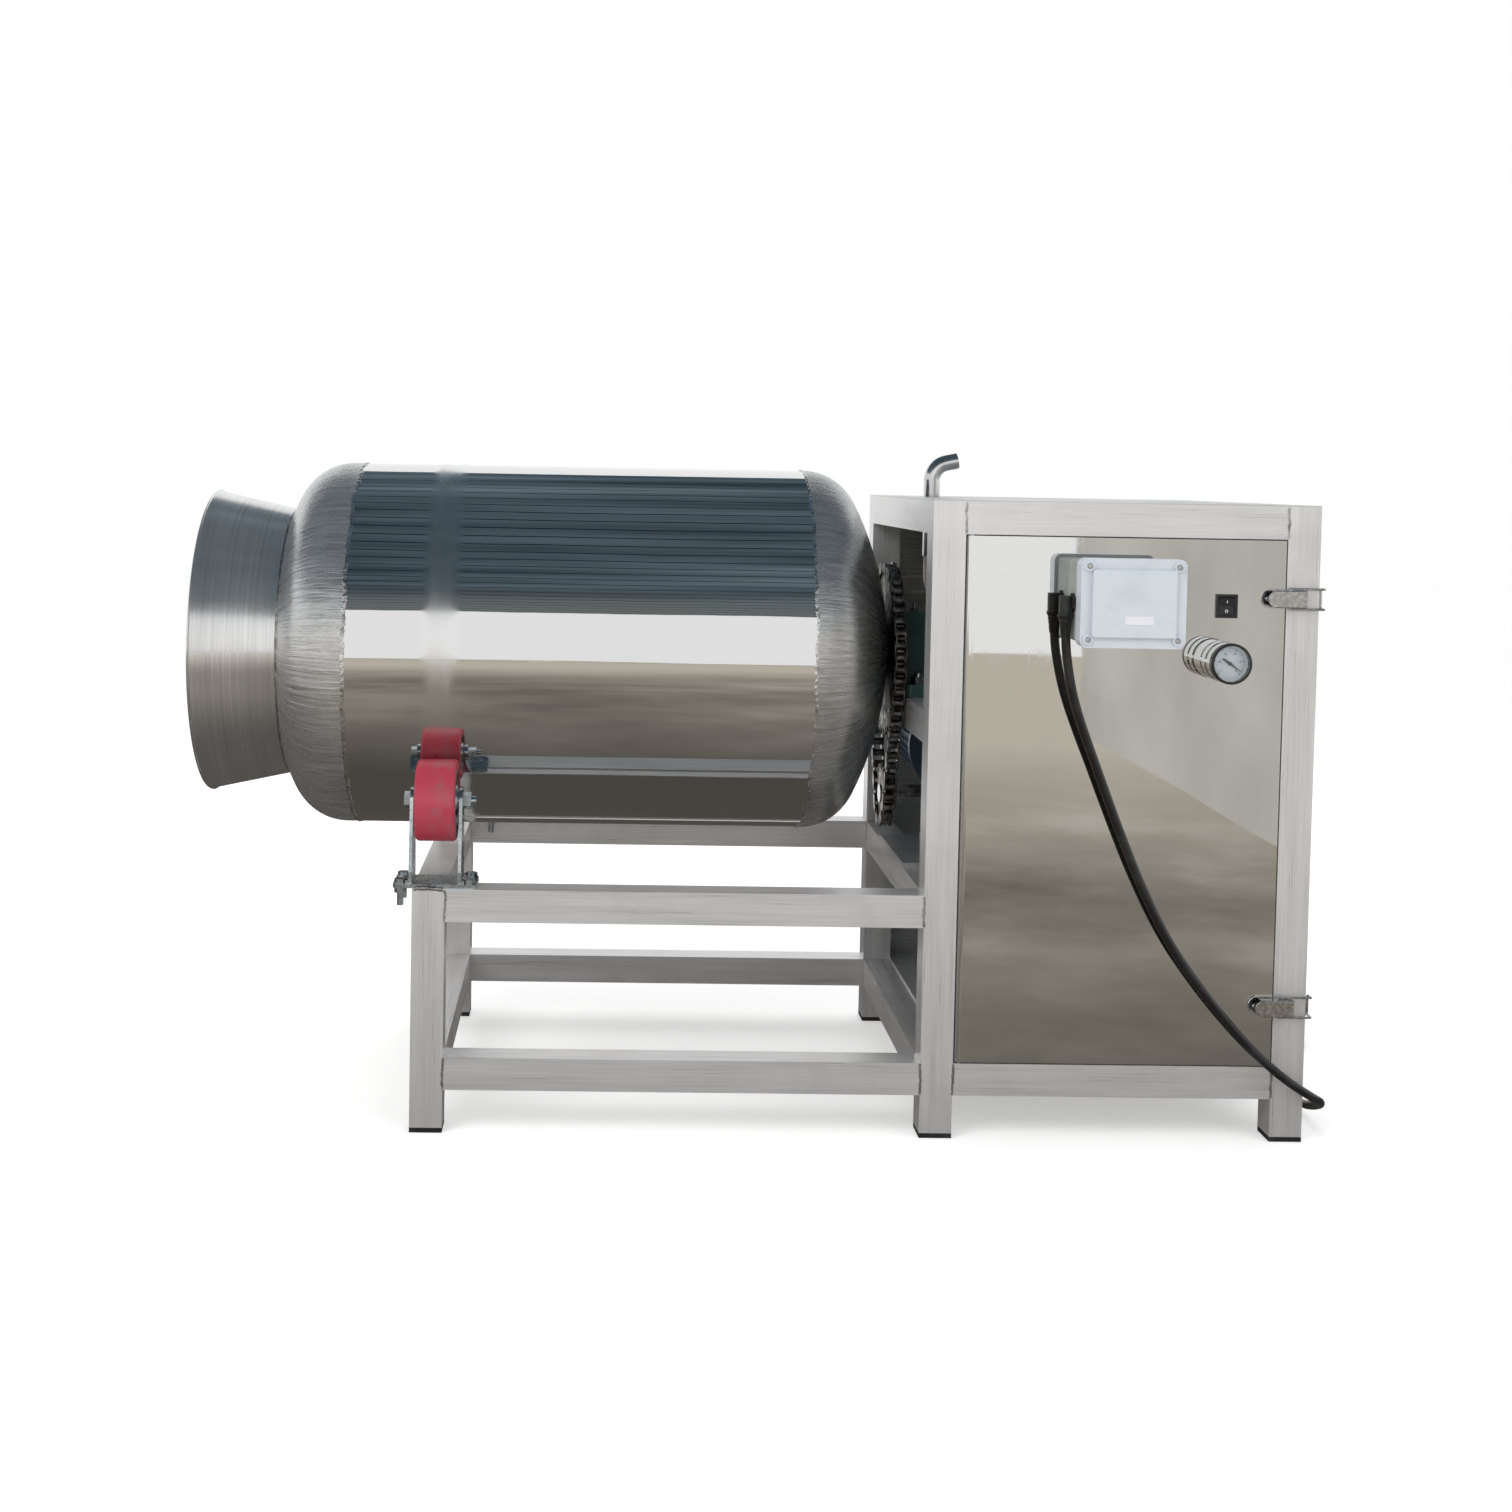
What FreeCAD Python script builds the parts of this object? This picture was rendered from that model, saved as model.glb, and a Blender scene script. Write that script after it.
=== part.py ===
"""Meat vacuum tumbler, as a parametric document in millimetres.

A stainless drum lies along X with its mouth at -X. Its front end runs on two polyurethane casters,
its rear shaft in a pillow block on a beam of the square-tube frame. A geared motor in the cabinet at
+X turns it by a roller chain. The frame's front is at -Y, +Z is up, and the origin lies on the floor
under the middle of the machine.
"""
import math
import os

import FreeCAD, Part
import Sketcher
from FreeCAD import Placement, Rotation, Vector

doc = FreeCAD.newDocument("MeatVacuumTumbler")
sheet = doc.addObject("Spreadsheet::Sheet", "Sizes")
sheet_rows = []
nodes = []


# ---------------------------------------------------------------- sizes

class Size(float):
    """A number that also carries the spreadsheet formula it comes from."""

    def __new__(cls, number, formula=None):
        made = float.__new__(cls, number)
        made.formula = formula or "%.10g" % number
        return made

    def __add__(self, other):
        return Size(float(self) + float(other), "(%s + %s)" % (self.formula, as_size(other).formula))

    def __radd__(self, other):
        return as_size(other) + self

    def __sub__(self, other):
        return Size(float(self) - float(other), "(%s - %s)" % (self.formula, as_size(other).formula))

    def __rsub__(self, other):
        return as_size(other) - self

    def __mul__(self, other):
        return Size(float(self) * float(other), "(%s * %s)" % (self.formula, as_size(other).formula))

    def __rmul__(self, other):
        return as_size(other) * self

    def __truediv__(self, other):
        return Size(float(self) / float(other), "(%s / %s)" % (self.formula, as_size(other).formula))

    def __neg__(self):
        return 0 - self


def as_size(number):
    return number if isinstance(number, Size) else Size(number)


def root(number):
    return Size(math.sqrt(number), "sqrt(%s)" % as_size(number).formula)


def write_cell(name, text):
    row = len(sheet_rows) + 1
    sheet_rows.append(name)
    sheet.set("A%d" % row, name)
    sheet.set("B%d" % row, text)
    sheet.setAlias("B%d" % row, name)


def size(name, number):
    """A driving dimension: one plain number in one aliased cell."""
    write_cell(name, "%.10g" % number)
    return Size(number, "Sizes." + name)


def derived(name, formula):
    """A dimension worked out from others: the cell holds the formula."""
    write_cell(name, "=" + formula.formula.replace("Sizes.", ""))
    return Size(float(formula), "Sizes." + name)


def worked_out(name, number):
    """A dimension that only a calculation gives, such as the chain's centre distance."""
    return size(name, round(number, 4))


# Frame of square tube
tube = size("tube", 40)
tube_wall = size("tube_wall", 2)
foot_height = size("foot_height", 6)
foot_plug = size("foot_plug", 14)
frame_depth = size("frame_depth", 530)
mouth_reach = size("mouth_reach", 290)
left_bay = size("left_bay", 585)
cabinet_bay = size("cabinet_bay", 393)
lower_rail_height = size("lower_rail_height", 53)
left_rail_top = size("left_rail_top", 300)
cabinet_height = size("cabinet_height", 782.5)
channel_drop = size("channel_drop", 103)
channel_side = size("channel_side", 25)
panel_sheet = size("panel_sheet", 1.5)
base_sheet = size("base_sheet", 3)
shelf_sheet = size("shelf_sheet", 6)
shelf_width = size("shelf_width", 200)
floor_gap = size("floor_gap", 6)

# Drum
axis_height = size("axis_height", 577)
drum_radius = size("drum_radius", 240)
drum_sheet = size("drum_sheet", 3)
shell_length = size("shell_length", 582)
head_crown = size("head_crown", 430)
head_knuckle = size("head_knuckle", 72)
front_flange = size("front_flange", 16)
rear_flange = size("rear_flange", 4)
head_gap = size("head_gap", 16)
throat_radius = size("throat_radius", 176.5)
rim_radius = size("rim_radius", 198.5)
rim_lip = size("rim_lip", 2.5)
baffle_height = size("baffle_height", 52)
baffle_length = size("baffle_length", 470)
baffle_fold = size("baffle_fold", 22)
baffle_count = 3
shaft_radius = size("shaft_radius", 22.5)
shaft_bore = size("shaft_bore", 8)
shaft_inside = size("shaft_inside", 18)
shaft_overhang = size("shaft_overhang", 52)

# Casters
wheel_radius = size("wheel_radius", 50)
wheel_width = size("wheel_width", 50)
tread_thickness = size("tread_thickness", 11)
wheel_inset = size("wheel_inset", 32)
wheel_offset = size("wheel_offset", 7)
tread_shoulder = size("tread_shoulder", 5)
axle_radius = size("axle_radius", 6)
axle_eye = size("axle_eye", 17)
axle_hex = size("axle_hex", 10.5)
axle_head = size("axle_head", 8)
axle_nut = size("axle_nut", 10)
axle_tail = size("axle_tail", 6)
arm_inset = size("arm_inset", 3)
caster_bolt_radius = size("caster_bolt_radius", 4)
caster_bolt_head = size("caster_bolt_head", 7.5)
caster_bolt_length = size("caster_bolt_length", 27)
plate_length = size("plate_length", 102)
plate_depth = size("plate_depth", 56)
plate_thickness = size("plate_thickness", 5)
fork_sheet = size("fork_sheet", 4)
fork_gap = size("fork_gap", 3)
running_gap = size("running_gap", 0.05)
soft_gap = size("soft_gap", 0.3)

# Pillow block
block_height = size("block_height", 54)
block_length = size("block_length", 190)
block_width = size("block_width", 50)
block_foot = size("block_foot", 16)
block_bolt_span = size("block_bolt_span", 146)
housing_radius = size("housing_radius", 52)
housing_width = size("housing_width", 36)
insert_radius = size("insert_radius", 40)
bolt_radius = size("bolt_radius", 6)

# Chain drive: 5/8 inch pitch, 10.16 mm rollers
chain_pitch = size("chain_pitch", 15.875)
roller_radius = size("roller_radius", 5.08)
sprocket_width = size("sprocket_width", 9.1)
link_sheet = size("link_sheet", 1.55)
link_height = size("link_height", 14.4)
driven_teeth = 44
drive_teeth = 15
wanted_centres = size("wanted_centres", 196)
output_radius = size("output_radius", 12.5)

# Gear motor and vacuum pump
gearbox_width = size("gearbox_width", 104)
gearbox_depth = size("gearbox_depth", 112)
gearbox_top = size("gearbox_top", 102)
worm_offset = size("worm_offset", 63)
motor_radius = size("motor_radius", 62)
motor_length = size("motor_length", 160)
pump_length = size("pump_length", 190)
pump_depth = size("pump_depth", 130)
pump_height = size("pump_height", 150)
pump_inset = size("pump_inset", 30)
pump_setback = size("pump_setback", 15)
release_port = size("release_port", 50)
suction_port = size("suction_port", 130)
port_rise = size("port_rise", 6)
hose_reach = size("hose_reach", 90)
hose_drop = size("hose_drop", 60)
hose_lift = size("hose_lift", 120)
hose_sweep = size("hose_sweep", 150)
hose_turn = size("hose_turn", 103)
hose_bend = size("hose_bend", 45)
hose_radius = size("hose_radius", 9)
union_radius = size("union_radius", 20)
union_length = size("union_length", 58)

# Exhaust pipe
exhaust_radius = size("exhaust_radius", 11)
exhaust_wall = size("exhaust_wall", 2)
exhaust_rise = size("exhaust_rise", 44)
exhaust_bend = size("exhaust_bend", 24)
exhaust_angle = size("exhaust_angle", 78)
exhaust_end = size("exhaust_end", 16)
exhaust_x_from_leg = size("exhaust_x_from_leg", 57)
exhaust_foot = size("exhaust_foot", 40)
exhaust_setback = size("exhaust_setback", 335)

# Door, with the controls on it
door_gap = size("door_gap", 1.5)
door_depth = size("door_depth", 16)
door_sheet = size("door_sheet", 1.5)
pivot_inset = size("pivot_inset", 7)
pivot_radius = size("pivot_radius", 3)
pivot_reach = size("pivot_reach", 6)
pivot_pin = size("pivot_pin", 20)
lug_height = size("lug_height", 16)
lug_length = size("lug_length", 18)
box_from_leg = size("box_from_leg", 162)
box_drop = size("box_drop", 129)
box_width = size("box_width", 125)
box_height = size("box_height", 105.5)
box_depth = size("box_depth", 80)
lid_thickness = size("lid_thickness", 26)
lid_raise = size("lid_raise", 5)
box_corner = size("box_corner", 9)
base_inset = size("base_inset", 4)
gland_radius = size("gland_radius", 10)
gland_reach = size("gland_reach", 9.5)
gland_rise = size("gland_rise", 50)
gland_drop = size("gland_drop", 14)
gland_setback = size("gland_setback", 28)
cable_radius = size("cable_radius", 5.5)
switch_from_leg = size("switch_from_leg", 359.5)
switch_drop = size("switch_drop", 82)
bezel_width = size("bezel_width", 26.5)
bezel_height = size("bezel_height", 29)
rocker_width = size("rocker_width", 18)
rocker_height = size("rocker_height", 22)
rocker_tilt = size("rocker_tilt", 8)
rocker_pin = size("rocker_pin", 1.5)
bezel_depth = size("bezel_depth", 2.6)
switch_body = size("switch_body", 14)
gauge_from_leg = size("gauge_from_leg", 349.5)
gauge_drop = size("gauge_drop", 147.5)
gauge_radius = size("gauge_radius", 24.5)
gauge_reach = size("gauge_reach", 57)
gauge_ring = size("gauge_ring", 9)
needle_length = size("needle_length", 17)
needle_tail = size("needle_tail", 9.5)
needle_angle = size("needle_angle", 34)

# Toggle latches
upper_latch_drop = size("upper_latch_drop", 72)
lower_latch_rise = size("lower_latch_rise", 76)
lever_height = size("lever_height", 21)
lever_length = size("lever_length", 40)
lever_sheet = size("lever_sheet", 1.2)
lever_inset = size("lever_inset", 19.5)
lever_rise = size("lever_rise", 14.5)
latch_pin = size("latch_pin", 1.6)
latch_pin_height = size("latch_pin_height", 8)
latch_play = size("latch_play", 0.15)
latch_base = size("latch_base", 12)
latch_sheet = size("latch_sheet", 1.5)
loop_lead = size("loop_lead", 12)
loop_hook = size("loop_hook", 9)
latch_wire = size("latch_wire", 1.4)
catch_sheet = size("catch_sheet", 1.8)
catch_reach = size("catch_reach", 7)
catch_width = size("catch_width", 16)
catch_height = size("catch_height", 24)

# Power cable's coil and plug
coil_radius = size("coil_radius", 60)
coil_x_offset = size("coil_x_offset", 92)
coil_setback = size("coil_setback", 430)
plug_setback = size("plug_setback", 35)

# Lid in the mouth
lid_seat = size("lid_seat", 12)
lid_plate_thickness = size("lid_plate_thickness", 15)
seal_width = size("seal_width", 7)
handle_length = size("handle_length", 120)
handle_rise = size("handle_rise", 38)
handle_radius = size("handle_radius", 6)
handle_bend = size("handle_bend", 11)

# Places that follow from them
overall_length = derived("overall_length", mouth_reach + left_bay + cabinet_bay + 3 * tube + catch_reach)
left_leg_x = derived("left_leg_x", mouth_reach - overall_length / 2)
middle_leg_x = derived("middle_leg_x", left_leg_x + tube + left_bay)
right_leg_x = derived("right_leg_x", middle_leg_x + tube + cabinet_bay)
overall_depth = derived("overall_depth", box_depth + frame_depth - wheel_inset + wheel_radius)
front_y = derived("front_y", box_depth - overall_depth / 2)
rear_y = derived("rear_y", front_y + frame_depth - tube)
axis_y = derived("axis_y", front_y + frame_depth / 2)
lower_rail_top = derived("lower_rail_top", lower_rail_height + tube)
top_rail_bottom = derived("top_rail_bottom", cabinet_height - tube)
channel_height = derived("channel_height", top_rail_bottom - channel_drop)
beam_top = derived("beam_top", axis_height - block_height)
head_depth = derived(
    "head_depth",
    head_crown - root((head_crown - head_knuckle) * (head_crown - head_knuckle)
                      - (drum_radius - head_knuckle) * (drum_radius - head_knuckle)),
)
head_apex_x = derived("head_apex_x", middle_leg_x - head_gap)
shell_rear_x = derived("shell_rear_x", head_apex_x - head_depth - rear_flange)
shell_front_x = derived("shell_front_x", shell_rear_x - shell_length)
throat_depth = derived(
    "throat_depth",
    head_depth - head_crown + root(head_crown * head_crown - throat_radius * throat_radius),
)
throat_x = derived("throat_x", shell_front_x - throat_depth - front_flange)
rim_x = derived("rim_x", left_leg_x - mouth_reach)
cone_length = derived("cone_length", throat_x - rim_x)
wheel_x = derived("wheel_x", left_leg_x + tube / 2 + wheel_offset)
wheel_from_axis = derived("wheel_from_axis", frame_depth / 2 - wheel_inset)
wheel_reach = derived("wheel_reach", drum_radius + wheel_radius + soft_gap)
wheel_drop = derived("wheel_drop", root(wheel_reach * wheel_reach - wheel_from_axis * wheel_from_axis))
wheel_height = derived("wheel_height", axis_height - wheel_drop)
sprocket_x = derived("sprocket_x", head_apex_x + sprocket_width / 2 + 0.3)
block_x = derived("block_x", middle_leg_x + block_width / 2)
shaft_end = derived("shaft_end", block_x + housing_width / 2 + shaft_overhang)
shelf_top = derived("shelf_top", left_rail_top + shelf_sheet)
gearbox_x = derived("gearbox_x", block_x + block_width / 2)
door_left = derived("door_left", middle_leg_x + tube + door_gap)
door_right = derived("door_right", right_leg_x - door_gap)
door_bottom = derived("door_bottom", lower_rail_top + door_gap)
door_top = derived("door_top", top_rail_bottom - door_gap)
pivot_x = derived("pivot_x", door_left + pivot_inset)
pivot_y = derived("pivot_y", front_y + pivot_inset)
box_x = derived("box_x", middle_leg_x + box_from_leg)
box_bottom = derived("box_bottom", top_rail_bottom - box_drop)
gland_x = derived("gland_x", box_x + base_inset - gland_reach)
gland_z = derived("gland_z", box_bottom + gland_rise - gland_drop)
switch_x = derived("switch_x", middle_leg_x + switch_from_leg)
switch_height = derived("switch_height", top_rail_bottom - switch_drop)
gauge_x = derived("gauge_x", middle_leg_x + gauge_from_leg)
gauge_height = derived("gauge_height", top_rail_bottom - gauge_drop)
upper_latch_height = derived("upper_latch_height", top_rail_bottom - upper_latch_drop)
lower_latch_height = derived("lower_latch_height", lower_rail_top + lower_latch_rise)
coil_x = derived("coil_x", right_leg_x + tube + coil_x_offset)
coil_y = derived("coil_y", front_y + coil_setback)
exhaust_x = derived("exhaust_x", middle_leg_x + exhaust_x_from_leg)
exhaust_y = derived("exhaust_y", front_y + exhaust_setback)
top_sheet_top = derived("top_sheet_top", cabinet_height + panel_sheet)


def pitch_radius(teeth):
    return float(chain_pitch) / 2 / math.sin(math.pi / teeth)


def chain_layout():
    """Rollers seated on each sprocket, links in each straight run, and the centre distance they need."""
    big, small = pitch_radius(driven_teeth), pitch_radius(drive_teeth)
    lean = math.asin((big - small) / float(wanted_centres))
    seated_big = round((math.pi / 2 + lean) * driven_teeth / math.tau)
    seated_small = round((math.pi / 2 - lean) * drive_teeth / math.tau)
    big_angle = seated_big * math.tau / driven_teeth
    small_angle = seated_small * math.tau / drive_teeth
    across = big * math.sin(big_angle) - small * math.sin(small_angle)
    ends = -big * math.cos(big_angle) - small * math.cos(small_angle)
    run = round(math.hypot(across, float(wanted_centres) - ends) / float(chain_pitch))
    centres = ends + math.sqrt((run * float(chain_pitch)) ** 2 - across ** 2)
    return seated_big, seated_small, run, centres


seated_driven, seated_drive, run_links, chain_centres = chain_layout()
sprocket_centres = worked_out("sprocket_centres", chain_centres)
output_height = derived("output_height", axis_height - sprocket_centres)
doc.recompute()


# ---------------------------------------------------------------- building blocks

TO_PLUS_X = Rotation(Vector(0, 1, 0), 90)
TO_MINUS_X = Rotation(Vector(0, 1, 0), -90)
TO_PLUS_Y = Rotation(Vector(1, 0, 0), -90)
TO_MINUS_Y = Rotation(Vector(1, 0, 0), 90)
UPRIGHT = Rotation()
PASS = 1.0  # how far a cutting tool runs past the face it cuts


def bind(item, prop, amount):
    item.setExpression(prop, as_size(amount).formula)


def put(item, x, y, z, turn=UPRIGHT):
    item.Placement = Placement(Vector(x, y, z), turn)
    for axis, amount in zip("xyz", (x, y, z)):
        bind(item, "Placement.Base." + axis, amount)
    return item


def block(x, y, z, length, depth, height, turn=UPRIGHT):
    item = doc.addObject("Part::Box", "Block")
    for prop, amount in zip(("Length", "Width", "Height"), (length, depth, height)):
        bind(item, prop, amount)
    return put(item, x, y, z, turn)


def rod(x, y, z, radius, length, turn=UPRIGHT):
    item = doc.addObject("Part::Cylinder", "Rod")
    bind(item, "Radius", radius)
    bind(item, "Height", length)
    return put(item, x, y, z, turn)


def cone(x, y, z, radius, end_radius, length, turn=UPRIGHT):
    item = doc.addObject("Part::Cone", "Cone")
    for prop, amount in zip(("Radius1", "Radius2", "Height"), (radius, end_radius, length)):
        bind(item, prop, amount)
    return put(item, x, y, z, turn)


def nut(x, y, z, across, height, turn=UPRIGHT):
    """A hexagon nut or bolt head; across is its corner radius."""
    item = doc.addObject("Part::Prism", "Nut")
    item.Polygon = 6
    bind(item, "Circumradius", across)
    bind(item, "Height", height)
    return put(item, x, y, z, turn)


def joined(*pieces):
    item = doc.addObject("Part::MultiFuse", "Joined")
    item.Shapes = list(pieces)
    return item


def cut(base, *tools):
    item = doc.addObject("Part::Cut", "Cut")
    item.Base = base
    item.Tool = tools[0] if len(tools) == 1 else joined(*tools)
    return item


def rounded(base, radius, chosen):
    """Rounds the straight edges of a base that chosen(edge) picks."""
    doc.recompute()
    item = doc.addObject("Part::Fillet", "Rounded")
    item.Base = base
    picked = [index + 1 for index, edge in enumerate(base.Shape.Edges) if chosen(edge)]
    item.Edges = [(index, float(radius), float(radius)) for index in picked]
    return item


def runs_along(axis):
    """Picks straight edges parallel to an axis."""
    def chosen(edge):
        line = edge.Vertexes[-1].Point - edge.Vertexes[0].Point
        return line.Length > 1e-6 and abs(line.dot(axis)) > 0.999 * line.Length
    return chosen


def made(name, item):
    """Names a finished sub-part, which gives its file the same name."""
    item.Label = name
    nodes.append(item)
    return item


def group(name, *pieces):
    """One node of separate solids."""
    item = doc.addObject("Part::Compound", "Group")
    item.Links = list(pieces)
    return made(name, item)


def shaped(shape):
    """A feature whose shape is worked out by Part's own functions."""
    item = doc.addObject("Part::Feature", "Shaped")
    item.Shape = shape
    return item


def outline(body, plane, corners):
    """A closed sketch. A corner is (u, v), or (u, v, radius, side) where an arc arrives at it.

    The arc's centre lies to the left of the way travelled for side 1, to the right for side -1.
    """
    sketch = body.newObject("Sketcher::SketchObject", "Outline")
    flat = [f for f in body.Origin.OriginFeatures if f.Role == plane][0]
    sketch.AttachmentSupport = (flat, "")
    sketch.MapMode = "FlatFace"
    begins = []
    for index, corner in enumerate(corners):
        last = corners[index - 1]
        start, end = Vector(last[0], last[1], 0), Vector(corner[0], corner[1], 0)
        if len(corner) == 2:
            edge = sketch.addGeometry(Part.LineSegment(start, end), False)
            begins.append((edge, 1, 2))
            continue
        radius, side = float(corner[2]), corner[3]
        chord = end - start
        left = Vector(-chord.y, chord.x, 0).normalize()
        centre = (start + end) / 2 + left * side * math.sqrt(radius ** 2 - chord.Length ** 2 / 4)
        first, second = (start, end) if side > 0 else (end, start)
        angles = [math.atan2(p.y - centre.y, p.x - centre.x) for p in (first, second)]
        circle = Part.Circle(centre, Vector(0, 0, 1), radius)
        edge = sketch.addGeometry(Part.ArcOfCircle(circle, angles[0], angles[1]), False)
        begins.append((edge, 1, 2) if side > 0 else (edge, 2, 1))
        held = sketch.addConstraint(Sketcher.Constraint("Radius", edge, radius))
        sketch.setExpression("Constraints[%d]" % held, as_size(corner[2]).formula)
    for index, corner in enumerate(corners):
        edge, _, end_point = begins[index]
        following = begins[(index + 1) % len(begins)]
        sketch.addConstraint(Sketcher.Constraint("Coincident", edge, end_point, following[0], following[1]))
        for kind, amount in zip(("DistanceX", "DistanceY"), corner[:2]):
            held = sketch.addConstraint(Sketcher.Constraint(kind, -1, 1, edge, end_point, float(amount)))
            sketch.setExpression("Constraints[%d]" % held, as_size(amount).formula)
    return sketch


def lathed(x, y, z, turn, corners):
    """A body revolved about its own Z; corners are (radius, distance along)."""
    body = doc.addObject("PartDesign::Body", "Lathed")
    sketch = outline(body, "XZ_Plane", corners)
    feature = body.newObject("PartDesign::Revolution", "Revolution")
    feature.Profile = sketch
    feature.ReferenceAxis = (sketch, ["V_Axis"])
    sketch.Visibility = False
    return put(body, x, y, z, turn)


def padded(x, y, z, plane, corners, thickness, turn=UPRIGHT):
    """A body padded from an outline: up from XY, towards +X from YZ, towards -Y from XZ."""
    body = doc.addObject("PartDesign::Body", "Padded")
    sketch = outline(body, plane, corners)
    feature = body.newObject("PartDesign::Pad", "Pad")
    feature.Profile = sketch
    bind(feature, "Length", thickness)
    return put(body, x, y, z, turn)


def wire_path(points, radii):
    """Straight runs joined by tangent arcs, one radius for each inner point."""
    edges = []
    at = points[0]
    for index, radius in enumerate(radii, start=1):
        corner = points[index]
        back = (points[index - 1] - corner).normalize()
        ahead = (points[index + 1] - corner).normalize()
        half = back.getAngle(ahead) / 2
        reach = radius / math.tan(half)
        start, end = corner + back * reach, corner + ahead * reach
        centre = corner + (back + ahead).normalize() * (radius / math.sin(half))
        middle = centre + (corner - centre).normalize() * radius
        edges += [Part.LineSegment(at, start).toShape(), Part.Arc(start, middle, end).toShape()]
        at = end
    edges.append(Part.LineSegment(at, points[-1]).toShape())
    return Part.Wire(edges)


def swept(points, radii, radius, bore=0):
    """A round bar or pipe along straight runs and arcs."""
    path = wire_path(points, radii)
    along = (points[1] - points[0]).normalize()
    shapes = []
    for r in (radius, bore):
        if r:
            ring = Part.Wire([Part.Circle(points[0], along, float(r)).toShape()])
            shapes.append(path.makePipeShell([ring], True, False))
    return shapes[0] if len(shapes) == 1 else shapes[0].cut(shapes[1])


# ---------------------------------------------------------------- frame

def tube_along(axis, x, y, z, length):
    """A square tube with open ends, its low corner at x, y, z."""
    outside = [tube, tube, tube]
    outside["xyz".index(axis)] = length
    start = [x + tube_wall, y + tube_wall, z + tube_wall]
    inside = [tube - 2 * tube_wall] * 3
    start["xyz".index(axis)] = (x, y, z)["xyz".index(axis)] - PASS
    inside["xyz".index(axis)] = length + 2 * PASS
    return cut(block(x, y, z, *outside), block(*start, *inside))


def make_legs():
    for name, x, top in (
        ("left_legs", left_leg_x, left_rail_top),
        ("middle_legs", middle_leg_x, cabinet_height),
        ("right_legs", right_leg_x, cabinet_height),
    ):
        group(name, *[tube_along("z", x, y, foot_height, top - foot_height) for y in (front_y, rear_y)])


def make_feet():
    pads = []
    inset = tube_wall + 0.25
    for x in (left_leg_x, middle_leg_x, right_leg_x):
        for y in (front_y, rear_y):
            pad = block(x, y, 0, tube, tube, foot_height)
            plug = block(x + inset, y + inset, 0, tube - 2 * inset, tube - 2 * inset, foot_height + foot_plug)
            pads.append(joined(pad, plug))
    group("rubber_feet", *pads)


def make_rails():
    bays = ((left_leg_x + tube, left_bay), (middle_leg_x + tube, cabinet_bay))
    pivot_hole = pivot_radius + running_gap
    lower = [tube_along("x", x, y, lower_rail_height, length) for y in (front_y, rear_y) for x, length in bays]
    lower[1] = cut(lower[1], rod(pivot_x, pivot_y, lower_rail_top - tube_wall - PASS, pivot_hole,
                                 tube_wall + 2 * PASS))
    group("lower_rails", *lower)
    group("upper_rails", *[tube_along("x", bays[0][0], y, left_rail_top - tube, left_bay)
                           for y in (front_y, rear_y)])
    front = cut(tube_along("x", bays[1][0], front_y, top_rail_bottom, cabinet_bay),
                rod(pivot_x, pivot_y, top_rail_bottom - PASS, pivot_hole, tube_wall + 2 * PASS))
    rear = tube_along("x", bays[1][0], rear_y, top_rail_bottom, cabinet_bay)
    channel = cut(
        block(bays[1][0], rear_y + tube - panel_sheet - channel_side, channel_height,
              cabinet_bay, channel_side, channel_side),
        block(bays[1][0] - PASS, rear_y + tube - 2 * panel_sheet - channel_side - PASS,
              channel_height + panel_sheet, cabinet_bay + 2 * PASS, channel_side + PASS,
              channel_side - 2 * panel_sheet),
    )
    group("cabinet_rails", front, rear, channel)


def make_cross_rails():
    inner = frame_depth - 2 * tube
    places = [(left_leg_x, lower_rail_height), (left_leg_x, left_rail_top - tube)]
    for x, middle_x in ((middle_leg_x, middle_leg_x), (right_leg_x, right_leg_x - panel_sheet)):
        places += [(x, lower_rail_height), (middle_x, left_rail_top - tube), (x, top_rail_bottom)]
    group("cross_rails", *[tube_along("y", x, front_y + tube, z, inner) for x, z in places])
    made("bearing_beam", tube_along("y", middle_leg_x, front_y + tube, beam_top - tube, inner))


def make_panels():
    cabinet_x = middle_leg_x + tube
    inner_y = front_y + tube
    whole_length = cabinet_bay + 2 * tube
    made("top_sheet", cut(
        block(middle_leg_x, front_y, cabinet_height, whole_length, frame_depth, panel_sheet),
        rod(exhaust_x, exhaust_y, cabinet_height - PASS, exhaust_radius + running_gap, panel_sheet + 2 * PASS),
    ))
    opening = top_rail_bottom - lower_rail_top
    made("side_panel", block(right_leg_x + tube - panel_sheet, inner_y, lower_rail_top,
                             panel_sheet, frame_depth - 2 * tube, opening))
    made("rear_panel", block(cabinet_x, rear_y + tube - panel_sheet, lower_rail_top,
                             cabinet_bay, panel_sheet, opening))
    floor_y = front_y + door_depth + floor_gap
    floor_plate = block(cabinet_x, floor_y, lower_rail_top, cabinet_bay,
                        rear_y + tube / 2 - floor_y, base_sheet)
    gearbox_shelf = block(middle_leg_x, axis_y - shelf_width / 2, left_rail_top,
                          whole_length - panel_sheet, shelf_width, shelf_sheet)
    group("cabinet_shelves", floor_plate, gearbox_shelf)


def make_exhaust():
    """A stub through the top sheet, bent over towards +X, that lets the pump's air out."""
    angle = math.radians(exhaust_angle)
    corner_rise = float(exhaust_rise) + float(exhaust_bend) * math.tan(angle / 2)
    foot = Vector(exhaust_x, exhaust_y, top_rail_bottom - exhaust_foot)
    corner = Vector(exhaust_x, exhaust_y, float(top_sheet_top) + corner_rise - 20)
    ahead = Vector(math.sin(angle), 0, math.cos(angle))
    end = corner + ahead * (float(exhaust_bend) * math.tan(angle / 2) + float(exhaust_end))
    pipe = swept([foot, corner, end], [float(exhaust_bend)], exhaust_radius, exhaust_radius - exhaust_wall)
    made("exhaust_pipe", shaped(pipe))


# ---------------------------------------------------------------- drum

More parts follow.
